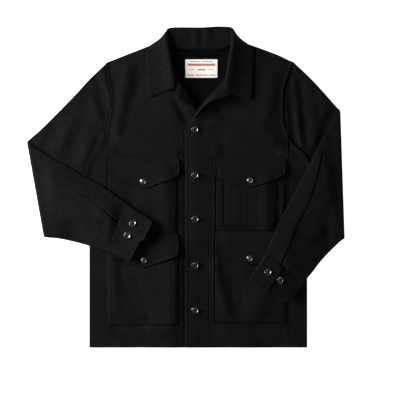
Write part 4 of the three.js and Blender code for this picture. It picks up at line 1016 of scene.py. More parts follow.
def sleeve(side):
    """Both layers of a sleeve as one closed tube, from the armhole over the elbow to the cuff."""
    front_rows, rear_rows, parts = sleeve_layers(side)
    centre = (front_rows + rear_rows).mean(axis=1) / 2
    knots = run(centre)
    count_upper = 1 + len(SLEEVES[side]["upper"])
    forearm = count_upper + len(ELBOW_STEPS)
    cuff_seam = knots[-1]
    rows = ticks(cuff_seam, (3, 8, cuff_seam - 8, cuff_seam - 3), coarse=3.6)
    rows = np.unique(np.concatenate([rows, knots[count_upper:forearm]]))
    rows = rows[np.concatenate([[True], np.diff(rows) > 0.5])]
    rows[-1] = cuff_seam
    front_fine = spline(front_rows, knots, rows)
    rear_fine = spline(rear_rows, knots, rows)
    columns = ticks(300, SEAM_COLUMNS, coarse=4.2) / 300
    grid = []
    seams = np.array([seam_part(side, rear[0], rear[-1]) if at > knots[forearm - 1] else 0.5
                      for rear, at in zip(rear_fine, rows)])
    kernel = np.ones(SMOOTHING) / SMOOTHING
    seams = np.convolve(np.pad(seams, SMOOTHING // 2, mode="edge"), kernel, mode="valid")
    for front_row, rear_row, seam in zip(front_fine, rear_fine, seams):
        over = np.where(columns < 0.5, columns * 2 * seam, seam + (columns - 0.5) * 2 * (1 - seam))
        grid.append(tube_ring(spline(front_row, parts, over), spline(rear_row, parts, over)))
    grid = np.array(grid)
    count, turn = len(columns), len(HALF_TURN)
    if side == "right":
        grid = grid[:, ::-1]
        front_part, rear_part = slice(-count, None), slice(turn, turn + count)
    else:
        front_part, rear_part = slice(0, count), slice(count + turn, 2 * count + turn)
    x, y = grid[..., 0], grid[..., 1]
    swell = np.zeros(x.shape)
    on_forearm = rows > knots[forearm - 1] - 4
    on_upper = rows < knots[count_upper]
    # forearm: the seam is lapped, with its upper ply on the far side from the topstitching
    line = -beside(ARM_SEAMS[side], x, y)
    sharp = ease(rows, knots[forearm], knots[forearm + 1])[:, None]
    seam = 1.4 * (ease(line, -1.5, 1.0) - ease(line, 2, 22))
    seam = seam + groove(line + 1.5, 2.8, 2.5) + groove(line - SEAM_STITCH, 0.6)
    folds = 1.7 * folds_at(ARM_CREASES[side], x, y)
    # the sleeve stands as a low roof with its ridge at the hindarm seam
    roof = np.zeros(x.shape)
    rise = ROOF[side] * (1 - abs(2 * columns - 1) ** 1.5)
    full = ease(rows, knots[forearm - 1], knots[forearm + 1]) * ease(cuff_seam - rows, 0, 26)
    roof[:, rear_part] = rise * full[:, None]
    mask = np.zeros(x.shape)
    mask[on_forearm, rear_part] = 1
    swell += mask * (seam * (0.35 + 0.65 * sharp) + folds) + roof
    cuff_side = (cuff_seam - rows)[:, None]
    swell += mask * (groove(cuff_side - 5, 0.5) - 0.5 * (1 - ease(cuff_side, 0, 3)))
    abreast = np.zeros(x.shape)
    abreast[:, rear_part] = 150 * columns
    swell += mask * 1.2 * puckers(cuff_side, abreast)
    mask = np.zeros(x.shape)
    mask[on_upper, front_part] = 1
    from_seam = rows[:, None]
    swell += mask * (-3.0 * (1 - ease(from_seam, 1, 12)) + 0.6 * np.exp(-((from_seam - 13) / 8) ** 2))
    far = ease(knots[count_upper] - rows, 0, 25)[:, None] * ease(rows, 2, 10)[:, None]
    swell += mask * far * np.maximum(1.2 * folds_at(SLEEVE_FOLDS[side], x, y), -3.0)
    return cloth(f"cloth_sleeve_{side}", grid, WOOL, tube=True, swell=swell)


sleeves = {side: sleeve(side) for side in ("right", "left")}
for side, panel in sleeves.items():
    dress(panel, f"sleeve_{side}", WOOL_MELTON, SLEEVE_CUT, SLEEVE_AREA[side], held="folded",
          on=["cloth_front_" + side])

# %% [markdown]
# ## Cuffs
# A cuff is a band round the sleeve's end, two layers pressed together. Its overlap ends past its
# underlap, which gives the step seen at the mouth, and the mouth stands open a little.

# %% Cuffs
CUFF_STEP = (0.46, 7.0, 4.6)  # part across, extra length, extra height of the overlap
CUFF_LIFT = {"right": 11.0, "left": 10.0}
CUFF_OVER = 1.8  # how far a cuff covers the end of its sleeve


def cuff_surface(side, along, over):
    """Places in the middle of a cuff's lower layer, and the way down the arm there."""
    cut = SLEEVES[side]
    seam_edge, seam_under, way = section_ends(cut["forearm"][-1], CUFF_WALL)
    mouth_edge, mouth_under, way = section_ends(cut["cuff"][-1], CUFF_WALL)
    start = seam_edge + (seam_under - seam_edge) * over[..., None]
    stop = mouth_edge + (mouth_under - mouth_edge) * over[..., None]
    length = np.linalg.norm(stop - start, axis=-1, keepdims=True)
    ahead = (stop - start) / length
    at = start + ahead * (along[..., None] * (length + CUFF_OVER) - CUFF_OVER)
    at[..., 2] = drape(side, at[..., 0], at[..., 1]) + ARM_CLEAR + CUFF_WALL / 2
    at[..., 2] += CUFF_LIFT[side] * along ** 2
    return at, ahead


CUFF_LENGTH = 64.0
CUFF_ROWS = (3, 57)  # rows of stitches, down from the seam
CUFF_CUT = (0.275, 0.071)  # metres
CUFF_AREA = {"right": 0.0192, "left": 0.0173}


def cuff(side):
    """Both layers of a cuff as one closed tube, with the step where its end overlaps."""
    at_step, longer, higher = CUFF_STEP
    beside_step = at_step + np.array([-0.02, -0.008, 0.008, 0.02])
    across = np.unique(np.concatenate([np.linspace(0, 1, 40), beside_step, [0.03, 0.06, 0.94, 0.97]]))
    along = np.array([0, 0.04, 0.08, 0.11, 0.14, 0.2, 0.3, 0.42, 0.55, 0.68, 0.78, 0.84, 0.87, 0.9, 0.93, 0.96, 1])
    over, far = np.meshgrid(across, along)
    lower, ahead = cuff_surface(side, far, over)
    upper = lower.copy()
    upper[..., 2] += TUBE
    lapped = 1 - ease(over, at_step - 0.012, at_step + 0.012)
    upper[..., 2] += higher * lapped * over / at_step
    upper += ahead * (longer * far * lapped)[..., None]
    grid = np.array([tube_ring(a, b) for a, b in zip(lower, upper)])
    count, turn = len(across), len(HALF_TURN)
    swell = np.zeros(grid.shape[:2])
    from_seam, from_mouth = along[:, None] * CUFF_LENGTH, (1 - along[:, None]) * CUFF_LENGTH
    top = slice(count + turn, 2 * count + turn)
    for row in CUFF_ROWS:
        swell[:, top] += groove(from_seam - row, 0.45)
    swell[:, top] += 0.5 * ease(from_seam, 8, 24) * ease(from_mouth, 8, 24)
    abreast = 120 * across[::-1]
    swell[:, top] += puckers(from_seam, abreast) + 0.7 * puckers(from_mouth, abreast + 40)
    waves = 0.8 * np.sin(abreast / 9 + from_seam / 14)
    swell[:, top] += waves * ease(from_seam, 4, 20) * ease(from_mouth, 4, 20)
    if side == "right":
        grid, swell = grid[:, ::-1], swell[:, ::-1]
    return cloth(f"cloth_cuff_{side}", grid, CUFF_WALL, tube=True, swell=swell)


cuffs = {side: cuff(side) for side in ("right", "left")}
for side, panel in cuffs.items():
    dress(panel, f"cuff_{side}", WOOL_MELTON, CUFF_CUT, CUFF_AREA[side], on=["cloth_front_" + side])

# %% [markdown]
# ## Collar
# The collar is one strip with two layers and interlining: a stand that rises from the neck seam, a
# roll, and a leaf that falls back on the fronts and lies beneath the back at the nape. At each
# station a stand, an arc for the roll and a leaf are drawn, and the stations run round the neck.

# %% Collar stations
# Rows: seam xyz, crest xyz, edge xyz, facing, tilt, bend, radius
COLLAR = np.array([
    (-57, 682, 19.5, -62, 672, 23.5, -128, 649, 16.5, 200, 125, 100, 4),
    (-62, 700, 18.5, -63.5, 694, 26, -130, 676, 14.5, 190, 130, 100, 4.5),
    (-67, 722, 16, -68, 720, 27, -132, 710, 13, 185, 130, 100, 4.5),
    (-74, 752, 13, -73, 752, 27, -134, 742, 13, 182, 130, 100, 4.5),
    (-79, 773, 11.3, -78, 778, 25.5, -135, 762, 13, 178, 125, 105, 4.5),
    (-81, 784, 11.2, -81.5, 797, 22, -133, 772, 12.8, 170, 110, 120, 4.2),
    (-79, 788, 10.8, -82.5, 812, 16.5, -127, 780, 11, 152, 85, 140, 3.8),
    (-75, 786, 9.6, -81, 821, 11.4, -119, 786, 6.8, 130, 52, 160, 3.5),
    (-72, 784, 9.3, -79, 825.6, 8.3, -113, 787, 2.3, 115, 30, 172, 3.5),
    (-68, 781.5, 9, -75, 828, 6.5, -107, 782, 1.95, 105, 12, 178, 3.45),
    (-60, 777.5, 8.7, -66, 829.5, 5.5, -90, 770, 1.95, 94, 2, 180, 3.45),
    (-40, 775.5, 8.6, -42, 830, 5.4, -52, 763, 1.95, 90, 0, 180, 3.45),
    (4.5, 775, 8.6, 4.5, 829.5, 5.4, 4.5, 761, 1.95, 90, 0, 180, 3.45)], float)


# Rows: from x, y, to x, y, width, height
COLLAR_CREASES = [(-88, 735, -118, 730, 9, 0.8), (-84, 700, -120, 690, 9, -0.7), (104, 740, 132, 728, 9, 0.8),
                  (98, 700, 130, 690, 9, -0.7)]
LEAF_HUMP = 3.2  # how far a leaf bows up between its roll and its edge
LEAF_STITCH = 7.5  # stitches, in from the leaf's edge


def collar_stations():
    """All stations: the left side mirrors the right one, and hangs a little lower at its tip."""
    other = COLLAR[:-1][::-1].copy()
    for at in (0, 3, 6):
        fall = np.maximum(0, 760 - other[:, at + 1]) / 112
        other[:, at] = 2 * NECK_X - other[:, at]
        other[:, at + 1] -= 11 * fall * fall
        other[:, at + 2] += 6.5 * fall
    other[:, 4] += 2.0 * (other[:, 4] > 820)
    other[:, 8] = np.minimum(other[:, 8] - 2.2 * (other[:, 8] > 12.9), 15)
    other[:, 9] = 180 - other[:, 9]
    return np.concatenate([COLLAR, other])


# %% Collar
# Points of a leaf: shares of its width near the roll, and distances from its edge
LEAF_SHARES = np.array([0.08, 0.16, 0.24, 0.32, 0.4, 0.48, 0.56, 0.64, 0.71, 0.77])
LEAF_CLOSE = np.array([11, 9.6, 8.6, 7.5, 6.4, 5.4, 4, 2.2, 0])
STAND_SHARES = (0, 0.12, 0.25, 0.4, 0.55, 0.7, 0.85)
ROLL_POINTS = 9
NOT_LEAF = 99.0


def collar():
    """Stand, roll and leaf of every station as one grid, swollen along the leaf and the stand."""
    stations = collar_stations()
    knots = run(stations[:, 3:6])
    fine = spline(stations, knots, ticks(knots[-1], (LEAF_STITCH, knots[-1] - LEAF_STITCH), coarse=3.2))
    from_end = np.minimum(run(fine[:, 3:6]), knots[-1] - run(fine[:, 3:6]))
    up = np.array([0, 0, 1.0])
    rows, marks = [], []
    for row in fine:
        seam, crest, edge = row[:3], row[3:6], row[6:9]
        facing, tilt, bend = np.radians(row[9:12])
        away = np.array([math.cos(facing), math.sin(facing), 0])
        over = away * math.cos(tilt) + up * math.sin(tilt)
        inside = -away * math.sin(tilt) + up * math.cos(tilt)
        centre = crest - over * row[12]
        turns = np.linspace(0.5, -0.5, ROLL_POINTS) * bend
        roll = [centre + row[12] * (over * math.cos(t) + inside * math.sin(t)) for t in turns]
        stand = [seam + (roll[0] - seam) * p for p in STAND_SHARES]
        length = np.linalg.norm(edge - roll[-1])
        close = 1 - LEAF_CLOSE / length
        stops = np.concatenate([LEAF_SHARES * close[0], close])
        leaf = [roll[-1] + (edge - roll[-1]) * p for p in stops]
        rows.append(stand + roll + leaf)
        marks.append([NOT_LEAF] * len(stand + roll) + list((1 - stops) * length))
    grid, marks = np.array(rows), np.array(marks)
    x, y = grid[..., 0], grid[..., 1]
    on_leaf = marks < NOT_LEAF
    stitched = groove(marks - LEAF_STITCH, 0.5) + groove(from_end[:, None] - LEAF_STITCH, 0.5)
    swell = np.where(on_leaf, stitched, 0.0)
    swell += np.where(on_leaf, folds_at(COLLAR_CREASES, x, y), 0.0)
    first = len(STAND_SHARES) + ROLL_POINTS
    over_leaf = np.clip(1 - marks / np.maximum(marks[:, first:first + 1], 1), 0, 1) * on_leaf
    swell += LEAF_HUMP * np.sin(math.pi * over_leaf ** 0.8) * ease(abs(x - NECK_X), 66, 96)
    stand_part = np.zeros(grid.shape[:2])
    stand_part[:, :10] = np.sin(np.linspace(0, 1, 10) * math.pi)
    waves = np.sin(x / 6.5 + 1.1 * np.sin(x / 17)) * (0.5 + 0.5 * np.sin(x / 31 + 1))
    swell += 1.9 * stand_part * waves * (abs(x - NECK_X) < 68) * (y > 770)
    return cloth("cloth_collar", grid, COLLAR_WALL, swell=swell)


collar_piece = collar()
dress(collar_piece, "collar", WOOL_MELTON, (0.50, 0.13), 0.045, held="folded",
      on=["cloth_front_right", "cloth_front_left"])
print("collar:", len(collar_stations()), "stations round the neck")

# %% [markdown]
# ## Lapels
# Below the collar both fronts turn back on themselves. Only this turned part of each facing shows,
# so the lapel is a strip that curls over the front's edge and lies back on it, lifted at its tip.

# %% Lapels
# Rows: x, y on the roll, x, y on the outer edge, flare
LAPELS = {
    "right": np.array([
        (-50, 690, -62, 648, 8), (-40, 675, -52, 642, 13), (-28, 658, -38, 635, 12), (-17, 642, -23, 629, 8),
        (-10, 632, -14, 625, 3)]),
    "left": np.array([
        (67, 693, 84, 655, 9), (47, 677, 58, 644, 15), (31, 660, 37, 640, 17), (17, 643, 20, 629, 14),
        (6, 628, 7, 615, 9), (-4, 612, -2, 603, 4), (-12, 599, -10, 593, 1)]),
}
LAPEL_CURL = 2.6  # radius of the roll
LAPEL_CLEAR = 1.2  # how far its middle lies inside the front's edge
# What each shown part is cut from, in metres, and its flat area in square metres
LAPEL_CUTS = {"right": ((0.08, 0.04), 0.002), "left": ((0.13, 0.05), 0.0034)}


def lapel(side):
    """A strip that starts under the front's edge, curls round it and lies back on the front."""
    table, edge = LAPELS[side], FRONT_EDGES[side]
    knots = run(table[:, :2])
    fine = spline(table, knots, np.linspace(0, knots[-1], 46))
    up = np.array([0, 0, 1.0])
    rows = []
    for roll_x, roll_y, outer_x, outer_y, flare in fine:
        place = float(nearest(edge, np.array(roll_x), np.array(roll_y))[1])
        foot = np.array([np.interp(place, np.arange(len(edge)), edge[:, n]) for n in (0, 1)] + [0])
        out = unit(foot - [roll_x, roll_y, 0])
        centre = foot - out * LAPEL_CLEAR + up * (float(front_z(side, foot[0], foot[1])) + LAPEL_CURL)
        turns = np.radians(np.linspace(270, 90, 9))
        curl = [centre + LAPEL_CURL * (out * math.cos(a) + up * math.sin(a)) for a in turns]
        outer = np.array([outer_x, outer_y, 0.0])
        flat = []
        outer_top = float(front_z(side, outer_x, outer_y)) + WOOL + LAY + flare
        for part in (0.12, 0.25, 0.4, 0.55, 0.7, 0.85, 1):
            at = curl[-1] * [1, 1, 0] + (outer - curl[-1] * [1, 1, 0]) * part
            top = float(front_z(side, at[0], at[1])) + WOOL + LAY + flare * part
            start = curl[-1][2]
            at[2] = max(start + (outer_top - start) * part, top)
            flat.append(at)
        rows.append(curl + flat)
    return cloth(f"cloth_lapel_{side}", np.array(rows), WOOL)


lapels = {side: lapel(side) for side in ("right", "left")}
for side, panel in lapels.items():
    dress(panel, f"lapel_{side}", WOOL_MELTON, *LAPEL_CUTS[side], held="folded", on=["cloth_front_" + side])

# %% [markdown]
# ## Inside of the neck
# A tape covers the neck seam, a hanger strip is tacked below it, and a cream satin label is sewn to
# the back. The label carries plain woven bars and no words. Small strips are grids as well.

# %% Tape, hanger loop and label
# Left, right, top, bottom
TAPE_BOX = (-62, 71, 773, 766.5)
LOOP_BOX = (-36, 48, 764, 757)
LABEL_BOX = (-33.5, 50, 748, 700.5)
LABEL_SIZE = (LABEL_BOX[1] - LABEL_BOX[0], LABEL_BOX[2] - LABEL_BOX[3])
LABEL_WAVE = 0.25


def strip(name, box, wall, bow=0.0, across=60, along=8, wave=0.0, lift=0.0):
    """A small strip on the inside of the back. bow bends it down, wave and lift raise it."""
    left, right, top, bottom = box
    x, up = np.meshgrid(np.linspace(left, right, across), np.linspace(0, 1, along))
    over = (x - left) / (right - left)
    y = bottom + (top - bottom) * up - bow * np.sin(math.pi * over)
    z = back_z(x, y) + folds_at(INNER_CREASES, x, y) * (abs(x - NECK_X) < INNER_HALF)
    z += WOOL / 2 + wall / 2 + 0.15
    z += lift * np.sin(math.pi * over) + wave * np.sin(over * 9) * np.sin(up * 3 + over * 2)
    return cloth(name, np.dstack([x, y, z]), wall)


tape = strip("neck_tape_strip", TAPE_BOX, 1.0)
loop = strip("hanger_strip", LOOP_BOX, 1.2, bow=3, lift=1.0)
label = strip("label_ribbon", LABEL_BOX, 0.7, along=36, wave=LABEL_WAVE)
# The tape and the hanger strip take the black cotton, darkened as painted shade of the neck
dress(tape, "neck_tape", TAPE_COTTON_PAINTED_SHADE)
dress(loop, "hanger_loop", TAPE_COTTON_PAINTED_SHADE)
dress(label, "label", SATIN_CREAM, (0.0835, 0.0475), on=["cloth_back"])


def on_label(name, boxes):
    """Woven bars on the label: thin strips a hair above it, joined as one piece."""
    parts = []
    for n, box in enumerate(boxes):
        left, right, top, bottom = box
        ys = np.linspace(bottom, top, 3 + int((top - bottom) / 2))
        x, y = np.meshgrid(np.linspace(left, right, 40), ys)
        over, up = (x - LABEL_BOX[0]) / LABEL_SIZE[0], (y - LABEL_BOX[3]) / LABEL_SIZE[1]
        z = back_z(x, y) + folds_at(INNER_CREASES, x, y) + WOOL / 2 + 0.95
        z += LABEL_WAVE * np.sin(over * 9) * np.sin(up * 3 + over * 2)
        parts.append(cloth(f"{name}_{n}", np.dstack([x, y, z]), 0.25))
    join(parts, name)
    return parts[0]


def join(parts, name):
    """Joins parts into the first one, under a name."""
    bpy.ops.object.select_all(action="DESELECT")
    for part in parts:
        part.select_set(True)
    bpy.context.view_layer.objects.active = parts[0]
    if len(parts) > 1:
        bpy.ops.object.join()
    parts[0].name = parts[0].data.name = name


left, right, top, bottom = LABEL_BOX
wide_rows = on_label("label_wide_rows", [
    (left + 6, right - 6, top - 11, top - 17), (left + 6, left + 22, bottom + 8, bottom + 5.4),
    (left + 26, right - 26, bottom + 8, bottom + 5.4), (right - 22, right - 6, bottom + 8, bottom + 5.4)])
thin_rows = on_label("label_thin_rows", [
    (left + 14, left + 38, top - 5, top - 7), (left + 42, right - 14, top - 5, top - 7),
    (left + 10, left + 24, top - 26, top - 27.6), (left + 32, right - 32, top - 25, top - 28.6),
    (right - 24, right - 10, top - 26, top - 27.6)])
for piece in (wide_rows, thin_rows):
    dress(piece, None, SATIN_RED)
dress(back_panel, "back", WOOL_MELTON, (0.66, 0.80), 0.475, on=["floor"],
      extra=[tape, loop, wide_rows, thin_rows])

# The faces of the back that show in the neck take the inside's wool, whose darker colour is painted shade under
# the collar
back_panel.data.materials.append(WOOL_INSIDE_PAINTED_SHADE)
for face in back_panel.data.polygons:
    x, y = face.center.x * 1000 - MOVE[0], face.center.y * 1000 - MOVE[1]
    face.material_index = int(abs(x - NECK_X) < 115 and y > 570)

# %% [markdown]
# ## Stitches
# Topstitching is what the eye reads as tailoring. Every row is a path on the drawing; each stitch
# on it is a short thread, sunk at both ends, dropped onto the cloth by a ray from above.

# %% Stitch rows
STITCH = 3.8  # from one stitch to the next
THREAD_SIZE = 0.36
STITCH_DROP = 2.0  # where the cloth falls further than this, a stitch is left out
# Rings of a stitch: place along it, height above the cloth, share of the thread's size
STITCH_RINGS = ((-0.5, -0.3, 0.5), (-0.22, 0.12, 1), (0.22, 0.12, 1), (0.5, -0.3, 0.5))
SIDES = 5  # corners of a ring


def surfaces(panels):
    """One search tree over several panels, for rays from above."""
    points, faces = [], []
    for panel in panels:
        start = len(points)
        points += [tuple(v.co) for v in panel.data.vertices]
        faces += [[start + n for n in p.vertices] for p in panel.data.polygons]
    return BVHTree.FromPolygons(points, faces)


def drop(tree, x, y):
    """Height and normal of the top of the cloth under a place on the drawing, in mm."""
    origin = Vector(((x + MOVE[0]) / 1000, (y + MOVE[1]) / 1000, 0.3))
    place, normal, _, _ = tree.ray_cast(origin, Vector((0, 0, -1)))
    return (None, None) if place is None else (place.z * 1000, np.array(normal))


def threads(name, rows, panels, size=THREAD_SIZE, step=STITCH, dashes=0.74):
    """Stitches along paths of x, y places, as one mesh of small threads."""
    tree = surfaces(panels)
    points, faces = [], []
    places, sinks, sizes = (np.array(column) for column in zip(*STITCH_RINGS))
    for path in rows:
        path = np.array(path, float)
        length = run(path)
        count = max(2, int(round(length[-1] / step)))
        ends = np.linspace(0, length[-1], count + 1)
        for a, b in zip(ends, ends[1:]):
            stops = a + (b - a) * (0.5 + dashes * places)
            xy = np.column_stack([np.interp(stops, length, path[:, n]) for n in (0, 1)])
            found = [drop(tree, *at) for at in xy]
            if any(z is None for z, _ in found):
                continue
            heights = [z for z, _ in found]
            if max(heights) - min(heights) > STITCH_DROP:
                continue
            way = unit(np.append(xy[-1] - xy[0], heights[-1] - heights[0]))
            aside = unit(np.cross(way, found[1][1]))
            up = np.cross(aside, way)
            start = len(points)
            for at, z, sink, wide in zip(xy, heights, sinks, sizes):
                centre = np.append(at, z + sink)
                for turn in np.arange(SIDES) / SIDES * 2 * math.pi:
                    points.append(centre + size * wide * (aside * math.cos(turn) + up * math.sin(turn)))
            last = start + SIDES * (len(STITCH_RINGS) - 1)
            for k in range(start, last, SIDES):
                for n in range(SIDES):
                    m = (n + 1) % SIDES
                    faces.append([k + n, k + m, k + SIDES + m, k + SIDES + n])
            faces += [[start + n for n in range(SIDES)][::-1], [last + n for n in range(SIDES)]]
    mesh = bpy.data.meshes.new(name)
    mesh.from_pydata(((np.array(points) + MOVE) / 1000).tolist(), [], faces)
    mesh.polygons.foreach_set("use_smooth", np.ones(len(faces), bool))
    made = bpy.data.objects.new(name, mesh)
    bpy.context.collection.objects.link(made)
    dress(made, None, THREAD)
    print(f"{name}: {len(points) // (SIDES * len(STITCH_RINGS))} stitches")
    return made


def offset(path, distance):
    """A path moved to its left by a distance."""
    path = np.array(path, float)[:, :2]
    along = unit(np.gradient(path, axis=0))
    return path + np.column_stack([-along[:, 1], along[:, 0]]) * distance


def smooth_path(path, step=6.0):
    """A path drawn as a smooth curve, with a point at every step."""
    path = np.array(path, float)[:, :2]
    return spline(path, run(path), np.linspace(0, run(path)[-1], int(run(path)[-1] / step) + 2))


def inset_path(left, right, top, bottom, by):
    """Down one side of a box, along its foot and up the other side, a distance in."""
    return [(left + by, top), (left + by, bottom + by), (right - by, bottom + by), (right - by, top)]


# %% Stitches of the body
BAND_X = -33  # x of the left front's edge
body_rows = []
for inset in BAND_STITCHES:
    x = BAND_X + inset
    body_rows.append([(x, 4), (x, 556 if x > 0 else 566)])
for side in ("right", "left"):
    body_rows.append(offset(smooth_path(ARMHOLES[side][:SEAM_TOP + 1]), 9.5 if side == "right" else -9.5))
body_rows.append([(-232, HEM_STITCH), (-36, HEM_STITCH)])
body_rows.append([(-30, HEM_STITCH), (227, HEM_STITCH)])
threads("stitches_fronts", body_rows, fronts.values())

# %% Stitches of the pockets and flaps
pocket_rows = [inset_path(*row, by) for row in POCKETS.values() for by in POCKET_STITCHES]
threads("stitches_pockets", pocket_rows, pockets.values())
pencil_rows = [inset_path(*PENCIL, POCKET_STITCHES[0])]
pencil_rows += [[(x, PENCIL[3] + 2), (x, PENCIL[2])] for x in PENCIL_LINES]
threads("stitches_pencil_pocket", pencil_rows, [pencil])
flap_rows = []
for row in FLAPS.values():
    left, right, top = row[:3]
    xs = np.linspace(left + FLAP_STITCH, right - FLAP_STITCH, 60)
    depths = flap_drop(row, np.clip(xs, left + 12, right - 12))
    lower = np.column_stack([xs, top - depths + FLAP_STITCH])
    begin, end = (left + FLAP_STITCH - 2.2, top - 4), (right - FLAP_STITCH + 2.2, top - 4)
    flap_rows.append(np.concatenate([[begin], lower, [end]]))
    for down in (2.6, 9):
        flap_rows.append([(left + 3, top - down), (right - 3, top - down)])
threads("stitches_flaps", flap_rows, flaps.values())

# %% Stitches of the sleeves and cuffs
arm_rows = []
for side in ("right", "left"):
    arm_rows.append(offset(smooth_path(ARM_SEAMS[side][1:]), -SEAM_STITCH))
    before, last = SLEEVES[side]["forearm"][-2:]
    edge, under = (end[:2] for end in section_ends(last, WOOL)[:2])
    way = unit(under - edge)
    ahead = unit(np.array(before[:2]) - np.array(last[:2]))
    for far in (3, 8):
        arm_rows.append([edge + way * 2 + ahead * far, under - way * 2 + ahead * far])
threads("stitches_sleeves", arm_rows, sleeves.values())
cuff_rows = []
for side in ("right", "left"):
    for along in np.array(CUFF_ROWS) / CUFF_LENGTH:
        over = np.linspace(0.04, 0.96, 50)
        at, ahead = cuff_surface(side, np.full(50, along), over)
        longer = CUFF_STEP[1] * along * (over < CUFF_STEP[0])
        cuff_rows.append((at + ahead * longer[:, None])[:, :2])
threads("stitches_cuffs", cuff_rows, cuffs.values())

# %% Stitches of the collar, lapels and label
stations = collar_stations()
leaf_edge = stations[:, 6:8]
inner_edge = stations[:, 3:5]
way_in = unit(inner_edge - leaf_edge)
leaf_line = leaf_edge + way_in * LEAF_STITCH
# Only the first and last eight stations' leaves show: the rest lie beneath the back
collar_rows = [smooth_path(leaf_line[:8]), smooth_path(leaf_line[-8:])]
for end, other in ((0, 1), (-1, -2)):
    ahead = unit(leaf_edge[other] - leaf_edge[end]) * LEAF_STITCH
    collar_rows.append([leaf_line[end] + ahead, inner_edge[end] + ahead - way_in[end] * 6])
threads("stitches_collar", collar_rows, [collar_piece])
lapel_rows = [offset(LAPELS["right"][:, 2:4], 5), offset(LAPELS["left"][:, 2:4], -6)]
threads("stitches_lapels", [smooth_path(row) for row in lapel_rows], lapels.values())
# Most of this path misses the label, so it is caught down at its lower corner only
left, right, top = FLAPS["flap_lower_left"][:3]
bottom, inset = LABEL_BOX[3], 1.4
catch = [inset_path(left, right, top - inset, bottom, inset)]
catch.append([(left + inset, top - inset), (right - inset, top - inset)])
threads("stitches_label", catch, [label], size=0.22, step=2.6)

# %% [markdown]
# ## Buttonholes and bar tacks
# A buttonhole is a slit whose edges are wrapped in close satin stitches: a rounded ridge all round,
# with an eye at the end nearest the front's edge. A bar tack is the same ridge, short and straight,
# where a pocket's corner has to hold.

# %% Ridges of satin stitches


def ridge(name, paths, panels, size, closed=False, bumps=0.9):
    """Ropes of satin stitches along paths, with a small bump for each stitch."""
    tree = surfaces(panels)
    parts = []
    for path in paths:
        path = np.array(path, float)
        length = run(np.concatenate([path, path[:1]]) if closed else path)
        places = np.arange(0, length[-1], bumps / 2)
        full = np.concatenate([path, path[:1]]) if closed else path
        xy = np.column_stack([np.interp(places, length, full[:, n]) for n in (0, 1)])
        z = np.array([drop(tree, *at)[0] or 0 for at in xy])
        z = np.convolve(np.pad(z, 3, mode="edge"), np.ones(7) / 7, mode="valid")
        centre = np.column_stack([xy, z])
        if closed:
            along = unit(np.roll(centre, -1, 0) - np.roll(centre, 1, 0))
        else:
            along = unit(np.gradient(centre, axis=0))
        aside = unit(np.cross(along, [0, 0, 1.0]))
        wide = size * (1 + 0.14 * np.where(np.arange(len(xy)) % 2, 1, -1))
        if not closed:
            wide[[0, -1]] *= 0.5
        turns = np.arange(6) / 6 * 2 * math.pi
        rings = np.stack([centre + aside * (wide * math.cos(t))[:, None]
                          + [0, 0, 1.0] * (wide * math.sin(t) * 0.8)[:, None] for t in turns], axis=1)
        count = len(rings)
        number = np.arange(count * 6).reshape(count, 6)
        faces = []
        for i in range(count if closed else count - 1):
            k = (i + 1) % count
            for n in range(6):
                m = (n + 1) % 6
                faces.append([int(number[i, n]), int(number[k, n]), int(number[k, m]), int(number[i, m])])
        if not closed:
            faces += [number[0].tolist(), number[-1][::-1].tolist()]
        mesh = bpy.data.meshes.new(name)
        mesh.from_pydata(((rings.reshape(-1, 3) + MOVE) / 1000).tolist(), [], faces)
        mesh.polygons.foreach_set("use_smooth", np.ones(len(faces), bool))
        made = bpy.data.objects.new(name, mesh)
        bpy.context.collection.objects.link(made)
        parts.append(made)
    join(parts, name)
    dress(parts[0], None, THREAD)
    return parts[0]


# %% Buttonholes and bar tacks
BUTTON_X = -8
BUTTON_YS = (566, 447, 334, 214, 97)
HOLE_LENGTH = 32


def hole_path(x, y, length, way=(1.0, 0.0), eye=2.2, slit=1.1):
    """The outline of a keyhole buttonhole that starts at x, y."""
    turns = np.radians(np.linspace(30, 330, 13))
    loop_end = [(math.cos(t) * eye, math.sin(t) * eye) for t in turns]
    local = loop_end + [(length, -slit), (length + 0.8, 0), (length, slit)]
    aside = (-way[1], way[0])
    return [(x + way[0] * a + aside[0] * b, y + way[1] * a + aside[1] * b) for a, b in local]


holes = [hole_path(BUTTON_X - 3, y, HOLE_LENGTH) for y in BUTTON_YS]
ridge("buttonholes_front", holes, [fronts["left"]], 0.75, closed=True)
# Rows: from x, to x, y
TACKS = [(-238, -230, 489), (-54, -47, 489), (40, 48, 490), (219, 227, 490), (-231, -221, 115), (221, 211, 115),
         (-236, -228, 292), (222, 230, 298)]
tacked = [*fronts.values(), *pockets.values(), *flaps.values()]
ridge("bar_tacks", [[(a, y), (b, y)] for a, b, y in TACKS], tacked, 0.85)
print(len(holes), "buttonholes and", len(TACKS), "bar tacks")

# %% [markdown]
# ## Buttons
# The buttons are cast and turned: a disc with a rolled rim, a dished middle and four holes, sewn on
# by a cross of thread. One is modelled at the origin with a cylinder, an inset and a bevel, the
# holes are cut by a boolean, and copies are dropped onto the cloth, each turned a little.

# %% Tools for turned and cast pieces
MM = 0.001


def deselect():
    """Leaves no piece selected, as the joining and modelling commands need."""
    bpy.ops.object.select_all(action="DESELECT")


def pick_faces(made, test):
    """Selects the faces whose centre and normal pass a test, in edit mode."""
    bpy.ops.object.mode_set(mode="EDIT")
    bpy.ops.mesh.select_mode(type="FACE")
    bpy.ops.mesh.select_all(action="DESELECT")
    bpy.ops.object.mode_set(mode="OBJECT")
    for face in made.data.polygons:
        face.select = bool(test(face.center, face.normal))
    bpy.ops.object.mode_set(mode="EDIT")


def cylinder(name, radius, height, sides, at=(0, 0, 0)):
    """A cylinder, all in metres."""
    deselect()
    bpy.ops.mesh.primitive_cylinder_add(vertices=sides, radius=radius, depth=height, location=at)
    made = bpy.context.active_object
    made.name = made.data.name = name
    bpy.ops.object.transform_apply(location=True, rotation=True, scale=True)
    return made


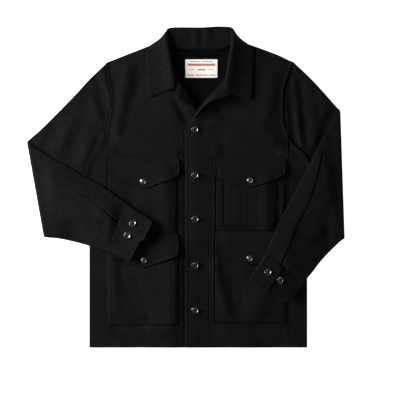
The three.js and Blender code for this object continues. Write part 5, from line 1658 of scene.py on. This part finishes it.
def rounded(made, name, width, segments, angle):
    """Bevels the edges sharper than an angle, and applies the bevel."""
    bevel = made.modifiers.new(name, "BEVEL")
    bevel.limit_method, bevel.angle_limit = "ANGLE", math.radians(angle)
    bevel.width, bevel.segments = width, segments
    bpy.ops.object.modifier_apply(modifier=name)


# %% Model one button
BUTTON_RADIUS, BUTTON_HEIGHT = 9.2 * MM, 3.2 * MM
HOLE_RADIUS, HOLE_PLACE = 1.0 * MM, 1.75 * MM  # the four holes, and how far off the middle they are
BAR_LENGTH, BAR_RADIUS, BAR_GAP = 4.9 * MM, 0.24 * MM, 0.38


def model_button():
    """A disc with a rolled rim, a dished middle and four holes, its foot at the origin."""
    made = cylinder("button_blank", BUTTON_RADIUS, BUTTON_HEIGHT, 48, (0, 0, BUTTON_HEIGHT / 2))
    pick_faces(made, lambda c, n: n.z > 0.9)
    bpy.ops.mesh.inset(thickness=2.5 * MM, depth=0)
    bpy.ops.mesh.inset(thickness=0.8 * MM, depth=-0.9 * MM)
    bpy.ops.object.mode_set(mode="OBJECT")
    pick_faces(made, lambda c, n: n.z < -0.9)
    bpy.ops.mesh.inset(thickness=1.2 * MM, depth=0)
    bpy.ops.object.mode_set(mode="OBJECT")
    rounded(made, "rim", 0.75 * MM, 4, 28)
    drills = [cylinder("drill", HOLE_RADIUS, 9 * MM, 14, (x * HOLE_PLACE, y * HOLE_PLACE, BUTTON_HEIGHT / 2))
              for x in (-1, 1) for y in (-1, 1)]
    join(drills, "drills")
    deselect()
    made.select_set(True)
    bpy.context.view_layer.objects.active = made
    cut = made.modifiers.new("holes", "BOOLEAN")
    cut.object, cut.operation, cut.solver = drills[0], "DIFFERENCE", "EXACT"
    bpy.ops.object.modifier_apply(modifier="holes")
    bpy.data.objects.remove(drills[0])
    bpy.ops.object.shade_smooth_by_angle(angle=math.radians(35))
    return made


def model_button_thread():
    """Two crossed bars of thread through the holes."""
    parts = []
    for turn in (45, 135):
        for shift in (-BAR_GAP, 0, BAR_GAP):
            bar = cylinder("bar", BAR_RADIUS, BAR_LENGTH, 8)
            bpy.ops.object.mode_set(mode="EDIT")
            bpy.ops.mesh.select_all(action="SELECT")
            bpy.ops.mesh.subdivide(number_cuts=3)
            bpy.ops.object.mode_set(mode="OBJECT")
            c, s = math.cos(math.radians(turn)), math.sin(math.radians(turn))
            for v in bar.data.vertices:
                along, low = v.co.z, abs(v.co.z) / (BAR_LENGTH / 2)
                x, y = v.co.x, v.co.y + shift * MM
                v.co = (c * along - s * y, s * along + c * y, 2.75 * MM + x - 1.1 * MM * low ** 4)
            parts.append(bar)
    join(parts, "button_thread")
    return parts[0]


blank = model_button()
blank_thread = model_button_thread()
print("button:", len(blank.data.polygons), "faces")

# %% Sew the buttons on
SEAT = 7  # how far round its middle a fastening feels the cloth


def place_copy(model, name, at, normal, turn, node, finish):
    """A copy of a model with its own mesh, set on the cloth and leaning with it."""
    made = model.copy()
    made.data = model.data.copy()
    made.name = made.data.name = name
    bpy.context.collection.objects.link(made)
    lean = Vector((0, 0, 1)).rotation_difference(Vector(normal)).to_matrix()
    c, s = math.cos(turn), math.sin(turn)
    for v in made.data.vertices:
        spun = Vector((c * v.co.x - s * v.co.y, s * v.co.x + c * v.co.y, v.co.z))
        v.co = lean @ spun + Vector(at)
    made.data.materials.clear()
    dress(made, node, finish)
    return made


def seat(node, model, panels, finish, turn, thread=None):
    """Sets a fastening on the cloth under its solid's middle."""
    low, high = (np.array(corner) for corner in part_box(node))
    x, y = (low + high)[:2] / 2
    tree = surfaces(panels)
    # The cloth's height under the middle and under four places round it gives the lean
    rim = [tree.ray_cast(Vector((x + dx * SEAT * MM, y + dy * SEAT * MM, 0.3)), Vector((0, 0, -1)))[0].z
           for dx, dy in ((0, 0), (1, 0), (-1, 0), (0, 1), (0, -1))]
    span = 2 * SEAT * MM
    slope = Vector(((rim[2] - rim[1]) / span, (rim[4] - rim[3]) / span, 1)).normalized()
    at = (x, y, max(rim[0], sum(rim) / 5) + 0.1 * MM)
    made = place_copy(model, f"{node}_piece", at, slope, turn, node, finish)
    if thread:
        place_copy(thread, f"{node}_thread", at, slope, turn, None, THREAD)
    return made


for n, turn in zip(range(1, 6), (0.2, -0.3, 0.5, 0.05, -0.15)):
    seat(f"button_front_{n}", blank, [fronts["left"]], BUTTON_RESIN, turn, blank_thread)
for side, turns in (("right", (0.6, 0.2)), ("left", (-0.4, 0.9))):
    for n, turn in zip((1, 2), turns):
        seat(f"button_cuff_{side}_{n}", blank, [cuffs[side]], BUTTON_RESIN, turn, blank_thread)

# %% [markdown]
# ## Snaps
# Each flap closes with a press snap: a domed cap in a rolled ring. The dome is an inset and raised
# disc rounded by a bevel, and the ring is a torus.

# %% Model one snap and set the four
CAP_RADIUS, CAP_HEIGHT = 6.4 * MM, 1.8 * MM
RING_RADIUS, RING_WALL = 7.0 * MM, 0.95 * MM


def model_snap():
    """A domed cap in a rolled ring, its foot near the origin."""
    cap = cylinder("snap_cap", CAP_RADIUS, CAP_HEIGHT, 40, (0, 0, 1.1 * MM))
    pick_faces(cap, lambda c, n: n.z > 0.9)
    for thickness, depth in ((1.0, 0.45), (1.3, 0.35), (1.4, 0.2), (1.2, 0.08)):
        bpy.ops.mesh.inset(thickness=thickness * MM, depth=depth * MM)
    bpy.ops.object.mode_set(mode="OBJECT")
    rounded(cap, "edge", 0.4 * MM, 3, 40)
    bpy.ops.object.shade_smooth_by_angle(angle=math.radians(50))
    deselect()
    bpy.ops.mesh.primitive_torus_add(major_radius=RING_RADIUS, minor_radius=RING_WALL, major_segments=40,
                                     minor_segments=10, location=(0, 0, 1.0 * MM))
    ring = bpy.context.active_object
    bpy.ops.object.transform_apply(location=True, rotation=True, scale=True)
    bpy.ops.object.shade_smooth()
    join([cap, ring], "snap_model")
    return cap


snap_model = model_snap()
for node in ("snap_chest_right", "snap_chest_left", "snap_lower_right", "snap_lower_left"):
    seat(node, snap_model, [flaps[node.replace("snap", "flap")]], SNAP_PLATE, 0.0)
for model in (blank, blank_thread, snap_model):
    bpy.data.objects.remove(model)
print("fastenings on the jacket: 9 buttons, 4 snaps")

# %% [markdown]
# ## Floor, light and camera
# The jacket lies on a white light table, lit from below so that no shadow shows on it. A low key
# light from the left rakes across the cloth and brings out its folds, a weaker fill comes from the
# lower right, and a weak white surround opens the shadows. The camera looks straight down through
# a long lens, so the sides of the jacket stay parallel.

# %% Floor
deselect()
bpy.ops.mesh.primitive_plane_add(size=12, location=(0, 0, -0.0004))
floor = bpy.context.active_object
floor.name = floor.data.name = "floor"
bpy.ops.object.transform_apply(location=True, rotation=True, scale=True)
LIGHT_TABLE, tree, shader = material("white_light_table", "f0f0f0", 0.9, Specular_IOR_Level=0.2)
grain = add(tree, "ShaderNodeTexNoise", own_place(tree), Scale=1000 / 40)
rough = add(tree, "ShaderNodeMapRange", {"Value": grain.outputs["Fac"]}, To_Min=0.86, To_Max=0.92)
tree.links.new(rough.outputs[0], shader.inputs["Roughness"])
shader.inputs["Emission Color"].default_value = (1, 1, 1, 1)
shader.inputs["Emission Strength"].default_value = 1.0
floor.data.materials.append(LIGHT_TABLE)

# %% Light
world = bpy.context.scene.world or bpy.data.worlds.new("surround")
bpy.context.scene.world = world
world.use_nodes = True
world.node_tree.nodes["Background"].inputs["Color"].default_value = (1, 1, 1, 1)
world.node_tree.nodes["Background"].inputs["Strength"].default_value = 0.1


def soft_light(name, place, size, power, target=(0, 0, 0)):
    """A square area light at a place, turned to a target."""
    lamp = bpy.data.lights.new(name, "AREA")
    lamp.shape, lamp.size, lamp.energy = "SQUARE", size, power
    made = bpy.data.objects.new(name, lamp)
    made.location = place
    made.rotation_euler = (Vector(target) - Vector(place)).to_track_quat("-Z", "Y").to_euler()
    bpy.context.collection.objects.link(made)


soft_light("key_left", (-1.6, 0.36, 0.79), 0.95, 86)
soft_light("fill_right", (1.9, -1.8, 1.7), 1.2, 21)

# %% Camera
VIEW_WIDTH = 1.037  # metres across the picture at the jacket
VIEW_MIDDLE = (4.55, 383)  # place on the drawing under the camera
VIEW_HEIGHT = 0.012  # metres: the height at which the view width is true
DISTANCE = 5.0
lens = bpy.data.cameras.new("catalogue_camera")
lens.sensor_width = 36
lens.sensor_fit = "HORIZONTAL"
lens.lens = 36 * DISTANCE / VIEW_WIDTH
lens.clip_end = 50
camera = bpy.data.objects.new("catalogue_camera", lens)
camera.location = (*((np.array(VIEW_MIDDLE) + MOVE[:2]) / 1000), DISTANCE + VIEW_HEIGHT)
bpy.context.collection.objects.link(camera)
bpy.context.scene.camera = camera
bpy.context.scene.view_settings.view_transform = "Standard"
